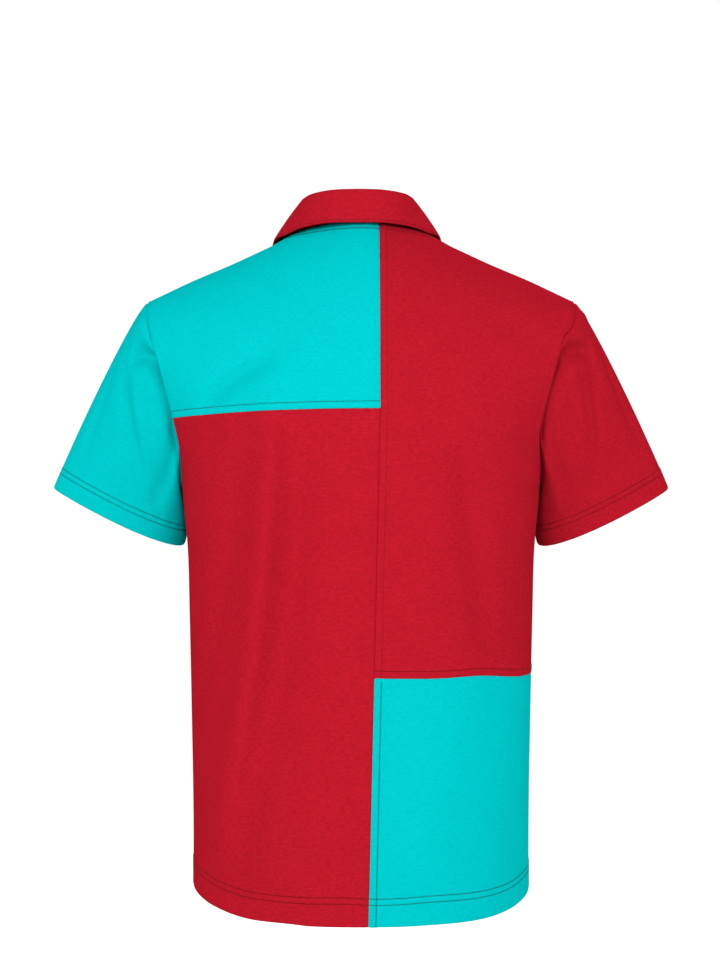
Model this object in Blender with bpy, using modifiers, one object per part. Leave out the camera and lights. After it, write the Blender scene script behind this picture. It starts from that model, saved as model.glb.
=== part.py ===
"""A short-sleeved polo shirt in red and turquoise blocks, hollow, in the shape it has when it is worn.

Metres, +Z up. The wearer faces -Y and the wearer's left is +X. The origin is at the base of the neck, midway
between front and back, level with the inner ends of the shoulder seams.

The body is one form: a back wall and a front wall that meet at the side seams and along the ridge of the
shoulders. Each panel is a grid of points on that form, cut off at its own seams, and is given the thickness
of its cloth by a Solidify modifier. The sleeves are tubes from the armhole to the cuff, and the collar is one
folded strip carried round the neck seam.
"""

import bpy
import numpy as np

# Cloth and seams
CLOTH = 0.0020  # thickness of one wall
DOUBLE_CLOTH = 0.0024  # collar: two layers
SEAM_GAP = 0.0003  # between two pieces that are sewn together
EDGE_GAP = 0.0010  # outer gap along the side seams and the shoulder ridge, whose walls lean together inside
CROSS_GAP = 0.0005  # across the back's own seams
ARMHOLE_GAP = 0.0011  # where the sleeve turns down from the shoulder
NECK_GAP = 0.0006  # under the collar's foot
EDGE_COLUMN = 0.006  # width of the column beside a centre seam, as a share of the wall's turn

# Neck and shoulders
NECK_HALF_WIDTH = 0.072
NECK_BACK_RISE = 0.010  # neck seam at centre back, above the origin
NECK_FRONT_DROP = 0.062  # neck seam at centre front, below the origin
SHOULDER_SLOPE = 0.474
RIDGE_ROUND = 0.020  # how far the two shoulder slopes are rounded into each other
SHOULDER_X = 0.2245
SHOULDER_DROP = 0.200  # height over which the shoulders round over into the upright walls
WALL_ROUNDNESS = 2.3  # exponent of the rings: 2 is an ellipse

# Armholes
UNDERARM_Z = -0.268
ARMHOLE_STEPS = 12  # from the underarm up to the shoulder, on the panels' edges and on the sleeve alike
ARMHOLE_BEND, ARMHOLE_CURVE = 0.55, 6.1  # how fast the armhole cuts into the ring above the underarm

# Back seams
CENTRE_SEAM_TOP_X, CENTRE_SEAM_HEM_X = -0.0192, -0.0075
LEFT_SEAM_Z = -0.188  # at the upright seam
LEFT_SEAM_STEP = 5  # it ends on this step of the armhole
RIGHT_SEAM_Z, RIGHT_SEAM_SAG = -0.451, 0.012

# Hem
HEM_SIDE_Z, HEM_MIDDLE_Z = -0.6776, -0.6896

# Sections of the body: height, half width at the side seams, depth of the back wall, depth of the front wall
BODY_COLUMNS = ("z", "half_width", "back", "front")
BODY_SECTIONS = (
    (-0.700, 0.1757, 0.160, 0.146),
    (-0.600, 0.1757, 0.156, 0.144),
    (-0.500, 0.1775, 0.150, 0.141),
    (-0.400, 0.1797, 0.147, 0.139),
    (-0.330, 0.1817, 0.146, 0.140),
    (-0.268, 0.1870, 0.145, 0.142),
    (-0.200, 0.1870, 0.143, 0.137),
    (-0.120, 0.1870, 0.133, 0.115),
    (-0.060, 0.1870, 0.123, 0.087),
    (0.000, 0.1870, 0.112, 0.073),
    (0.030, 0.1870, 0.106, 0.068),
)

# Edge of the armhole seen from behind and from the front: height, half width at the back, at the front
ARMHOLE_COLUMNS = ("z", "back", "front")
ARMHOLE_EDGE = (
    (-0.268, 0.1870, 0.1870),
    (-0.230, 0.1872, 0.1850),
    (-0.194, 0.1932, 0.1860),
    (-0.168, 0.1995, 0.1915),
    (-0.140, 0.2070, 0.1990),
    (-0.112, 0.2150, 0.2090),
    (-0.090, 0.2205, 0.2175),
    (-0.0720, 0.2245, 0.2245),
)

# Largest soft folds: wall, foot and head of the fold's line seen from behind, its rise, its half width
FOLD_COLUMNS = ("wall", "x0", "z0", "x1", "z1", "rise", "spread")
FOLDS = (
    ("back", 0.145, -0.600, 0.090, -0.250, 0.0035, 0.024),
    ("back", 0.075, -0.560, 0.045, -0.300, -0.0030, 0.022),
    ("back", -0.138, -0.430, -0.112, -0.250, -0.0035, 0.020),
    ("back", 0.150, -0.175, 0.075, -0.110, -0.0025, 0.018),
    ("front", 0.120, -0.620, 0.085, -0.280, 0.0040, 0.026),
    ("front", -0.135, -0.600, -0.080, -0.300, 0.0040, 0.024),
    ("front", -0.070, -0.640, -0.040, -0.380, -0.0030, 0.022),
    ("front", 0.160, -0.150, 0.100, -0.260, -0.0030, 0.018),
    ("front", -0.160, -0.160, -0.105, -0.250, -0.0030, 0.018),
)

# Sleeves
CUFF_OUTER = (0.3297, -0.2666)  # x and z of the cuff's outer corner
CUFF_INNER = (0.1904, -0.3277)
CUFF_HALF_DEPTH = 0.040
CUFF_POINT = 0.35  # how much slimmer the cuff is at its outer corner
CUFF_Y = -0.033
SLEEVE_FORWARD = np.radians(9.0)  # how far the sleeve swings forward
SLEEVE_LEAN, SLEEVE_LEAN_UNDER = np.radians((38.0, 70.0))  # how steeply it leaves the shoulder and the underarm
SLEEVE_NARROWING = 0.25  # how fast its front and back draw together at the armhole
SLEEVE_START, SLEEVE_END = 0.26, 0.91  # pull of the start and end directions, as shares of the length

# Collar: share of the way from centre back to centre front, then the fold's crest and the leaf's edge
COLLAR_COLUMNS = ("share", "fold_x", "fold_y", "fold_z", "edge_x", "edge_y", "edge_z")
COLLAR_STATIONS = (
    (0.00, 0.0000, 0.0480, 0.0405, 0.0000, 0.0640, 0.0040),
    (0.25, 0.0390, 0.0375, 0.0395, 0.0535, 0.0470, 0.0010),
    (0.50, 0.0560, 0.0020, 0.0340, 0.0905, 0.0000, -0.0040),
    (0.65, 0.0505, -0.0370, 0.0080, 0.0940, -0.0430, -0.0320),
    (0.82, 0.0330, -0.0610, -0.0190, 0.0800, -0.0730, -0.0640),
    (1.00, 0.0030, -0.0720, -0.0350, 0.0470, -0.0960, -0.0920),
)
COLLAR_SHIFT = 0.0034  # the collar sits this far towards the wearer's left
COLLAR_TILT = 0.018  # and leans that way by this slope
NECK_STEPS = 5  # columns of a panel from its centre to the shoulder seam's neck end
NECK_COLUMN = 0.006  # least width of such a column
MIDWAY_X = 0.1  # where a level's height is taken, to find the x of its columns
FOLD_RADIUS = 0.0036
LEAF_BULGE = 0.0016

# Placket and buttons
PLACKET_HALF_WIDTH = 0.0160
SLOT_HALF_WIDTH = 0.0125
SLOT_STEP = 4  # the slot ends on this step of the front, counted as on the armhole
PLACKET_OVERHANG = 0.007  # how far the over strip reaches past the slot's lower end
STRIP = 0.0014  # thickness of each strip
BUTTON_RADIUS, BUTTON_HEIGHT = 0.0056, 0.0026
BUTTON_DROPS = (0.016, 0.064, 0.112)  # below the neck seam at centre front

TURQUOISE = (0.001, 0.61, 0.63, 1.0)
RED = (0.52, 0.011, 0.025, 1.0)
BUTTON_RED = (0.40, 0.010, 0.020, 1.0)


def column(table, names, name):
    """One named column of a table, as an array."""
    return np.array([row[names.index(name)] for row in table])


def smooth(table, names, key, name, at):
    """The named column as a smooth function of the key column: a cubic on each step."""
    xs, ys = column(table, names, key), column(table, names, name)
    at = np.clip(at, xs[0], xs[-1])
    slopes = np.gradient(ys, xs)
    i = np.clip(np.searchsorted(xs, at) - 1, 0, len(xs) - 2)
    step = xs[i + 1] - xs[i]
    u = (at - xs[i]) / step
    rise = ys[i + 1] - ys[i]
    start, end = slopes[i] * step, slopes[i + 1] * step
    return ys[i] + u * start + u**2 * (3 * rise - 2 * start - end) + u**3 * (start + end - 2 * rise)


def ridge_z(x):
    """Height of the shoulder ridge: two straight slopes rounded into each other at the neck."""
    return SHOULDER_SLOPE * (np.hypot(NECK_HALF_WIDTH, RIDGE_ROUND) - np.hypot(x, RIDGE_ROUND))


SHOULDER_Z = float(ridge_z(SHOULDER_X))


def neck_z(x, wall):
    """Height of the neck seam: nearly level behind, a round scoop in front."""
    inside = np.clip(1 - (x / NECK_HALF_WIDTH) ** 2, 0, 1)
    if wall == "back":
        return NECK_BACK_RISE * inside**3
    return -NECK_FRONT_DROP * inside**0.6


def top_z(x, wall):
    """Upper edge of a wall: the neck seam in the middle, the shoulder ridge outside it."""
    return np.where(np.abs(x) < NECK_HALF_WIDTH, neck_z(x, wall), ridge_z(x))


def hem_z(x):
    """Lower edge of the body, nearly level in the middle and rising towards the side seams."""
    return HEM_MIDDLE_Z + (HEM_SIDE_Z - HEM_MIDDLE_Z) * (x / BODY_SECTIONS[0][1]) ** 4


def edge_x(z, wall):
    """Half width of a wall where it ends: at the side seam, or above the underarm at the armhole."""
    side = smooth(BODY_SECTIONS, BODY_COLUMNS, "z", "half_width", z)
    armhole = smooth(ARMHOLE_EDGE, ARMHOLE_COLUMNS, "z", wall, z)
    return np.where(z < UNDERARM_Z, side, armhole)


def ring_half_width(z, wall):
    """Half width of the whole ring, which the armhole cuts short above the underarm."""
    above = np.maximum(z - UNDERARM_Z, 0)
    return edge_x(z, wall) / (1 - ARMHOLE_BEND * above - ARMHOLE_CURVE * above**2)


def folds(x, z, wall):
    """How far the soft folds lift the cloth: each is a rounded ridge along a line, fading at both ends."""
    lift = np.zeros(np.broadcast(x, z).shape)
    for row in FOLDS:
        fold = dict(zip(FOLD_COLUMNS, row))
        if fold["wall"] == wall:
            run_x, run_z = fold["x1"] - fold["x0"], fold["z1"] - fold["z0"]
            length = np.hypot(run_x, run_z)
            along = ((x - fold["x0"]) * run_x + (z - fold["z0"]) * run_z) / length**2
            off = ((x - fold["x0"]) * run_z - (z - fold["z0"]) * run_x) / length
            fade = np.clip(1 - (2 * along - 1) ** 4 / 2.5, 0, 1)
            lift += fold["rise"] * fade * np.exp(-((off / fold["spread"]) ** 2))
    return lift


def wall_depth(x, z, wall):
    """Distance of a wall from the mid-plane: a ring's rounding across, the shoulder's rounding above."""
    full = smooth(BODY_SECTIONS, BODY_COLUMNS, "z", wall, z)
    out = np.clip(np.abs(x) / ring_half_width(z, wall), 0, 1)
    across = (1 - out**WALL_ROUNDNESS) ** (1 / WALL_ROUNDNESS)
    below = np.clip((ridge_z(x) - z) / SHOULDER_DROP, 0, 1)
    shoulder = np.sqrt(1 - (1 - below) ** 2)
    return (full + folds(x, z, wall)) * across * shoulder


def on_wall(x, z, wall):
    """Points of the body's outer surface at x and z, stopping half a gap short of the other wall."""
    x, z = np.broadcast_arrays(x, z)
    side = 1.0 if wall == "back" else -1.0
    return np.stack([x, side * np.maximum(wall_depth(x, z, wall), EDGE_GAP / 2), z], axis=-1)


def outward(x, z, wall, step=0.0005):
    """Direction square to a wall, away from the body, from the slopes of its depth."""
    side = 1.0 if wall == "back" else -1.0
    across = (wall_depth(x + step, z, wall) - wall_depth(x - step, z, wall)) / (2 * step)
    up = (wall_depth(x, z + step, wall) - wall_depth(x, z - step, wall)) / (2 * step)
    direction = np.stack([-across, side + 0 * across, -up], axis=-1)
    return direction / np.linalg.norm(direction, axis=-1, keepdims=True)


def centre_seam_x(z):
    """The back's upright seam: straight down beside the upper left block, then slanting to the hem."""
    below = np.clip((LEFT_SEAM_Z - z) / (LEFT_SEAM_Z - HEM_MIDDLE_Z), 0, 1)
    return CENTRE_SEAM_TOP_X + (CENTRE_SEAM_HEM_X - CENTRE_SEAM_TOP_X) * below


def armhole_share(step):
    """How far up the armhole a step lies: steps of equal angle round an oval, crowded at both ends."""
    return (1 - np.cos(np.pi * np.asarray(step) / ARMHOLE_STEPS)) / 2


LEFT_SEAM_END_Z = UNDERARM_Z + (SHOULDER_Z - UNDERARM_Z) * float(armhole_share(LEFT_SEAM_STEP))
LEFT_SEAM_END_X = float(edge_x(LEFT_SEAM_END_Z, "back"))


def left_seam_z(x):
    """The cross seam between the two left blocks, sagging towards the armhole."""
    out = (x - CENTRE_SEAM_TOP_X) / (LEFT_SEAM_END_X - CENTRE_SEAM_TOP_X)
    return LEFT_SEAM_Z + (LEFT_SEAM_END_Z - LEFT_SEAM_Z) * out**2


def right_seam_z(x):
    """The cross seam between the two right blocks, sagging towards the side seam."""
    return RIGHT_SEAM_Z - RIGHT_SEAM_SAG * (x / BODY_SECTIONS[0][1]) ** 2


def x_across(z, turns, wall, inner_x):
    """Half widths at heights z, at shares of the turn from the inner line (0) round to the wall's edge (1)."""
    start = np.arcsin(inner_x(z) / edge_x(z, wall))
    return edge_x(z, wall) * np.sin(start + (np.pi / 2 - start) * turns)


def turns_from(inner, shoulder_steps=6):
    """Shares of the turn from a half width at the neck to the wall's edge, with columns at even angles round
    the neck's oval. The first column is narrow, which keeps the seam's edge square to the cloth."""
    neck_x = NECK_HALF_WIDTH * np.sin(np.linspace(0, np.pi / 2, NECK_STEPS + 1))
    neck_x = np.append(inner, neck_x[neck_x > inner + NECK_COLUMN])
    angles = np.arcsin(neck_x / SHOULDER_X)
    shares = (angles - angles[0]) / (np.pi / 2 - angles[0])
    shoulder = np.linspace(shares[-1], 1, shoulder_steps + 1)[1:]
    return np.concatenate([shares[:1], [EDGE_COLUMN], shares[1:], shoulder])


def panel(wall, side, inner_x, turns, levels, shares):
    """Grid of points on half a wall, from its inner line to its edge and from the first level to the last.

    side is 1 for the wearer's left and -1 for the right. A level is a height as a function of x, and each
    stretch between two levels has a row at each of its shares, from 0 to 1.
    """
    heights = [level(side * x_across(level(MIDWAY_X), turns, wall, inner_x)) for level in levels]
    rows = [heights[0]]
    for low, high, stretch in zip(heights, heights[1:], shares):
        rows += [low + (high - low) * share for share in stretch[1:]]
    z = np.stack(rows)
    return on_wall(side * x_across(z, turns, wall, inner_x), z, wall)


def even(steps):
    """Shares of a stretch with rows at equal distances."""
    return np.linspace(0, 1, steps + 1)


def armhole_rows(first, last):
    """Shares of a stretch whose rows end on the armhole's steps, from one step to another."""
    at = armhole_share(np.arange(first, last + 1))
    return (at - at[0]) / (at[-1] - at[0])


def level_at(z):
    """A level at the same height everywhere."""
    return lambda x: z + 0.0 * x


def shifted(line, by):
    """A seam line moved by half a gap, so that the pieces on its two sides stay apart."""
    return lambda at: line(at) + by


def material(name, colour, roughness):
    """A plain finish for one kind of cloth or button."""
    made = bpy.data.materials.new(name)
    made.use_nodes = True
    shader = made.node_tree.nodes["Principled BSDF"]
    shader.inputs["Base Color"].default_value = colour
    shader.inputs["Roughness"].default_value = roughness
    shader.inputs["Metallic"].default_value = 0.0
    return made


def cloth_object(name, grid, finish, thickness, closed=False, left_out=None):
    """An open surface through the grid's points, thickened away from its outer side.

    The grid's outer side is the one from which its rows run up and its columns run to the right. closed joins
    the last column to the first. left_out is a mask of grid cells without cloth.
    """
    rows, columns = grid.shape[:2]
    number = np.arange(rows * columns).reshape(rows, columns)
    right = np.roll(number, -1, axis=1) if closed else number[:, 1:]
    left = number if closed else number[:, :-1]
    faces = np.stack([left[:-1], right[:-1], right[1:], left[1:]], axis=-1)
    if left_out is not None:
        faces = faces[~left_out]
    mesh = bpy.data.meshes.new(name)
    mesh.from_pydata(grid.reshape(-1, 3).tolist(), [], faces.reshape(-1, 4).tolist())
    mesh.materials.append(finish)
    mesh.shade_smooth()
    made = bpy.data.objects.new(name, mesh)
    shirt.objects.link(made)
    wall = made.modifiers.new("thickness", "SOLIDIFY")
    wall.thickness = thickness
    wall.offset = -1.0
    return made


def back_panels():
    """The four blocks of the back: the seams between them are lines on the back wall."""
    half = CROSS_GAP / 2
    underarm = level_at(UNDERARM_Z)
    top = lambda x: top_z(x, "back")
    left = lambda z: centre_seam_x(z) + half
    right = lambda z: half - centre_seam_x(z)
    seam, steps = left_seam_z, (LEFT_SEAM_STEP, ARMHOLE_STEPS)
    blocks = (
        ("back_upper_left", turquoise, 1, left, [shifted(seam, half), top], [armhole_rows(*steps)]),
        ("back_lower_left", red, 1, left, [hem_z, underarm, shifted(seam, -half)],
         [even(13), armhole_rows(0, LEFT_SEAM_STEP)]),
        ("back_upper_right", red, -1, right, [shifted(right_seam_z, half), underarm, top],
         [even(6), armhole_rows(0, ARMHOLE_STEPS)]),
        ("back_lower_right", turquoise, -1, right, [hem_z, shifted(right_seam_z, -half)], [even(7)]),
    )
    for name, finish, side, inner_x, levels, shares in blocks:
        grid = panel("back", side, inner_x, turns_from(inner_x(0.0)), levels, shares)
        cloth_object(name, grid[:, ::-side], finish, CLOTH)


def front_panel():
    """The front in one piece, with the placket's slot cut down from the neck."""
    inner_x = level_at(SLOT_HALF_WIDTH)
    turns = turns_from(SLOT_HALF_WIDTH)
    levels = [hem_z, level_at(UNDERARM_Z), lambda x: top_z(x, "front")]
    shares = [even(13), armhole_rows(0, ARMHOLE_STEPS)]
    left, right = (panel("front", side, inner_x, turns, levels, shares) for side in (1, -1))
    grid = np.concatenate([right[:, ::-1], left], axis=1)
    slot = np.zeros((grid.shape[0] - 1, grid.shape[1] - 1), dtype=bool)
    slot[SLOT_STEP - ARMHOLE_STEPS:, len(turns) - 1] = True
    cloth_object("front", grid, red, CLOTH, left_out=slot)


def armhole(angle):
    """Points of the left armhole seam: from the shoulder down the back, round the underarm and up the front."""
    z = UNDERARM_Z + (SHOULDER_Z - UNDERARM_Z) * (1 + np.cos(angle)) / 2
    back, front = (on_wall(edge_x(z, wall), z, wall) for wall in ("back", "front"))
    ring = np.where(np.sin(angle)[:, None] >= 0, back, front)
    ring[np.abs(np.sin(angle)) < 1e-6, 1] = 0.0
    return ring


def sleeve(name, side, finish, along=8):
    """A tube from the armhole to the cuff: cubic curves that leave the shoulder's slope and end down the arm.

    The cuff is an oval square to the sleeve's own axis, which hangs outwards and swings a little forward.
    """
    angle = np.pi * np.arange(2 * ARMHOLE_STEPS) / ARMHOLE_STEPS
    start = armhole(angle)
    outer, inner = np.array(CUFF_OUTER), np.array(CUFF_INNER)
    centre = np.array([(outer + inner)[0] / 2, CUFF_Y, (outer + inner)[1] / 2])
    half_width = np.linalg.norm(outer - inner) / 2
    wide = np.array([(outer - inner)[0], 0, (outer - inner)[1]]) / (2 * half_width)
    down = np.array([wide[2], 0, -wide[0]])
    axis = down * np.cos(SLEEVE_FORWARD) + np.array([0, -np.sin(SLEEVE_FORWARD), 0])
    deep = down * np.sin(SLEEVE_FORWARD) + np.array([0, np.cos(SLEEVE_FORWARD), 0])
    depth = CUFF_HALF_DEPTH * np.sin(angle) * (1 - CUFF_POINT * np.cos(angle))
    end = centre + half_width * np.cos(angle)[:, None] * wide + depth[:, None] * deep
    length = np.linalg.norm(end - start, axis=1)[:, None]
    lean = SLEEVE_LEAN + (SLEEVE_LEAN_UNDER - SLEEVE_LEAN) * (1 - np.cos(angle)) / 2
    inwards = -SLEEVE_NARROWING * np.sin(angle) * np.abs(np.sin(angle))
    leave = np.stack([np.cos(lean), inwards, -np.sin(lean)], axis=1)
    start = start + leave * ARMHOLE_GAP
    w = np.linspace(0, 1, along + 1)[:, None, None]
    grid = (start * (1 + 2 * w) * (1 - w) ** 2 + end * w**2 * (3 - 2 * w)
            + leave * length * SLEEVE_START * w * (1 - w) ** 2 - axis * length * SLEEVE_END * w**2 * (1 - w))
    grid = grid * [side, 1, 1]
    cloth_object(name, grid[:, ::-side], finish, CLOTH, closed=True)


def neck_seam(share):
    """Points of the left half of the neck seam, from centre back over the shoulder to centre front."""
    x = NECK_HALF_WIDTH * np.sin(share * np.pi)
    back, front = (on_wall(x, neck_z(x, wall), wall) for wall in ("back", "front"))
    points = np.where(share[:, None] < 0.5, back, front)
    points[np.isclose(share, 0.5), 1] = 0.0
    return points


def collar_line(name, share, side):
    """The fold's crest or the leaf's edge at shares of the way round, leaning towards the wearer's left."""
    x, y, z = (smooth(COLLAR_STATIONS, COLLAR_COLUMNS, "share", f"{name}_{axis}", share) for axis in "xyz")
    return np.stack([x + side * COLLAR_SHIFT, y, z - side * COLLAR_TILT * x], axis=1)


def collar_half(side):
    """Half the collar: at each station a section that stands up, folds over and falls to the leaf's edge."""
    share = np.linspace(0, 1, 4 * NECK_STEPS + 1)
    fold, edge = collar_line("fold", share, side), collar_line("edge", share, side)
    seam = neck_seam(share)
    out = (edge - seam) * [1, 1, 0]
    out /= np.linalg.norm(out, axis=1)[:, None]
    up = np.array([0, 0, 1.0])
    foot = seam - out * CLOTH + up * NECK_GAP
    centre = fold - up * FOLD_RADIUS
    section = [foot + (centre - out * FOLD_RADIUS - foot) * step for step in (0, 0.5, 1)]
    for turn in np.radians((45, 90, 135)):
        section.append(centre + FOLD_RADIUS * (up * np.sin(turn) - out * np.cos(turn)))
    start = centre + out * FOLD_RADIUS
    for step in (0, 0.25, 0.5, 0.75, 1):
        section.append(start + (edge - start) * step + (out + up) * LEAF_BULGE * 4 * step * (1 - step))
    return np.stack(section) * [side, 1, 1]


def collar():
    """The whole collar: both halves joined at centre back, its ends meeting at centre front."""
    left, right = collar_half(1), collar_half(-1)
    cloth_object("collar", np.concatenate([left[:, ::-1], right[:, 1:]], axis=1), red, DOUBLE_CLOTH)


def slot_end_z(x):
    """Lower end of the placket's slot, on its step of the front's rows."""
    return UNDERARM_Z + (neck_z(x, "front") - UNDERARM_Z) * armhole_share(SLOT_STEP)


def strip(name, half_width, lengthen, lift, rows=12):
    """A placket strip: the front wall's own points within its width, moved out by lift."""
    x = np.linspace(-half_width, half_width, 5)
    low, high = slot_end_z(SLOT_HALF_WIDTH) - lengthen, neck_z(x, "front")
    z = low + (high - low) * even(rows)[:, None]
    x = x + 0 * z
    cloth_object(name, on_wall(x, z, "front") + lift * outward(x, z, "front"), red, STRIP)


def placket_and_buttons():
    """The under strip fills the slot, the over strip covers it, and the buttons lie on the over strip."""
    strip("placket_under", SLOT_HALF_WIDTH - SEAM_GAP, -SEAM_GAP, 0.0)
    over_lift = STRIP + 2 * SEAM_GAP
    strip("placket_over", PLACKET_HALF_WIDTH, PLACKET_OVERHANG, over_lift)
    for name, drop in zip(("button_top", "button_middle", "button_low"), BUTTON_DROPS):
        z = np.array(-NECK_FRONT_DROP - drop)
        away = outward(0.0, z, "front")
        place = on_wall(0.0, z, "front") + away * (over_lift + 2 * SEAM_GAP + BUTTON_HEIGHT / 2)
        slope = np.arctan2(away[2], -away[1])
        bpy.ops.mesh.primitive_cylinder_add(vertices=16, radius=BUTTON_RADIUS, depth=BUTTON_HEIGHT)
        button = bpy.context.object
        button.name = name
        button.data.materials.append(button_finish)
        button.location = place
        button.rotation_euler = (np.pi / 2 - slope, 0, 0)
        edge = button.modifiers.new("rounded rim", "BEVEL")
        edge.width, edge.segments = BUTTON_HEIGHT / 5, 1
        for holder in button.users_collection:
            holder.objects.unlink(button)
        shirt.objects.link(button)


for old in list(bpy.data.objects):
    bpy.data.objects.remove(old)
shirt = bpy.data.collections.new("polo_shirt")
bpy.context.scene.collection.children.link(shirt)
red = material("red jersey", RED, 0.9)
turquoise = material("turquoise jersey", TURQUOISE, 0.9)
button_finish = material("red button", BUTTON_RED, 0.35)

back_panels()
front_panel()
sleeve("sleeve_left", 1, turquoise)
sleeve("sleeve_right", -1, red)
collar()
placket_and_buttons()
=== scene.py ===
"""Dresses a short-sleeved polo shirt in red and turquoise blocks: its jersey, seams, hems and buttons.

Metres, +Z up. The wearer faces -Y and the wearer's left is +X. The shirt is hollow and has the form it
has when it is worn, so each piece of cloth is a thin shell on the body's form, with its own creases,
seams and hems.
"""

import bpy
import numpy as np
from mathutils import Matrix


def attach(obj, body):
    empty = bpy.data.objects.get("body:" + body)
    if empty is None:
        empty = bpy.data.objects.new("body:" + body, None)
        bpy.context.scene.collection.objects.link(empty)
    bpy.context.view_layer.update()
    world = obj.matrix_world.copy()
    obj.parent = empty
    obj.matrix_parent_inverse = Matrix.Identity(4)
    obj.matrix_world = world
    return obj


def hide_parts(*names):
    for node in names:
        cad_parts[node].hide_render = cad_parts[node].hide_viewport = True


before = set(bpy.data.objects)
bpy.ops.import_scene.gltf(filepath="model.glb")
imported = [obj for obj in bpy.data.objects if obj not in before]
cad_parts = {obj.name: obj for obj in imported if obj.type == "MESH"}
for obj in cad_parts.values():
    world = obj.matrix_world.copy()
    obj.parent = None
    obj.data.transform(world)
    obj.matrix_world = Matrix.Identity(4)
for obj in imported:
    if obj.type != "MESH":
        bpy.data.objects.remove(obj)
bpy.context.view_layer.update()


# ---------------------------------------------------------------------------------------------------------
# Back, upper left: a block of turquoise cotton jersey over the shoulder blade, sewn to the block below it
# with its seam allowance pressed up and topstitched. The body's form, a back and a front wall that meet at
# the sides and shoulders, stands here too, because this is the first block that is cut on it.
# ---------------------------------------------------------------------------------------------------------

# The body at a few heights: half width at the side seams, and how far back and front lie from the middle
BODY_COLUMNS = ("z", "half_width", "back", "front")
BODY_SECTIONS = (
    (-0.700, 0.1757, 0.160, 0.146),
    (-0.600, 0.1757, 0.156, 0.144),
    (-0.500, 0.1775, 0.150, 0.141),
    (-0.400, 0.1797, 0.147, 0.139),
    (-0.330, 0.1817, 0.146, 0.140),
    (-0.268, 0.1870, 0.145, 0.142),
    (-0.200, 0.1870, 0.143, 0.137),
    (-0.120, 0.1870, 0.133, 0.115),
    (-0.060, 0.1870, 0.123, 0.087),
    (0.000, 0.1870, 0.112, 0.073),
    (0.030, 0.1870, 0.106, 0.068),
)
WALL_ROUNDNESS = 2.3  # exponent of the rings: 2 is an ellipse

# Edge of the armhole: height, half width of the back there, half width of the front
ARMHOLE_COLUMNS = ("z", "back", "front")
ARMHOLE_EDGE = (
    (-0.268, 0.1870, 0.1870),
    (-0.230, 0.1872, 0.1850),
    (-0.194, 0.1932, 0.1860),
    (-0.168, 0.1995, 0.1915),
    (-0.140, 0.2070, 0.1990),
    (-0.112, 0.2150, 0.2090),
    (-0.090, 0.2205, 0.2175),
    (-0.072, 0.2245, 0.2245),
)
UNDERARM_Z = -0.268
ARMHOLE_BEND, ARMHOLE_CURVE = 0.55, 6.1  # how fast the armhole cuts into the ring above the underarm

# Neck, shoulders and hem
NECK_HALF_WIDTH = 0.072
NECK_BACK_RISE, NECK_FRONT_DROP = 0.010, 0.062
SHOULDER_SLOPE, RIDGE_ROUND = 0.474, 0.020
SHOULDER_HOLLOW = 0.0022  # how far the shoulder ridge sags between these two places
HOLLOW_START_X, HOLLOW_END_X = NECK_HALF_WIDTH, 0.125
SHOULDER_X = 0.2245
SHOULDER_DROP = 0.200  # height over which the shoulders round over into the upright walls
HEM_SIDE_Z, HEM_MIDDLE_Z = -0.6776, -0.6896
HEM_RIGHT_DROP, HEM_RIGHT_DROP_X = 0.0040, -0.060  # the right side hangs lower, from this place outwards
HEM_LEFT_DROP, HEM_LEFT_DROP_X = 0.0016, 0.115  # and the left side hangs lower round this place

# Soft folds and creases of the body: x and z of a fold's two ends, how far it bows sideways,
# how far it rises or sinks, and how wide it spreads
BACK_CREASES = (
    (0.145, -0.600, 0.090, -0.250, 0.000, 0.0035, 0.0240),
    (0.075, -0.560, 0.045, -0.300, 0.000, -0.0030, 0.0220),
    (-0.138, -0.430, -0.112, -0.250, 0.000, -0.0035, 0.0200),
    (0.150, -0.175, 0.075, -0.110, 0.000, -0.0025, 0.0180),
    (0.146, -0.610, 0.093, -0.215, -0.012, 0.0150, 0.0165),
    (0.160, -0.480, 0.126, -0.240, -0.006, -0.0044, 0.0110),
    (0.114, -0.600, 0.060, -0.225, -0.012, -0.0075, 0.0180),
    (0.190, -0.216, 0.140, -0.206, 0.000, -0.0110, 0.0140),
    (0.158, -0.186, 0.096, -0.141, 0.004, -0.0080, 0.0090),
    (0.112, -0.330, 0.104, -0.205, 0.004, -0.0012, 0.0120),
    (0.170, -0.672, 0.156, -0.580, 0.004, -0.0080, 0.0140),
    (-0.170, -0.672, -0.154, -0.600, -0.004, -0.0090, 0.0140),
    (-0.060, -0.250, -0.085, -0.090, 0.006, -0.0012, 0.0180),
    (-0.134, -0.450, -0.098, -0.235, 0.004, -0.0060, 0.0140),
    (-0.120, -0.100, -0.195, -0.125, 0.006, -0.0018, 0.0140),
    (0.145, -0.705, 0.065, -0.705, 0.000, -0.0060, 0.0450),
    (-0.060, -0.650, -0.085, -0.500, -0.006, 0.0012, 0.0220),
    (0.118, -0.652, 0.096, -0.560, 0.003, -0.0010, 0.0090),
)
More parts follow.
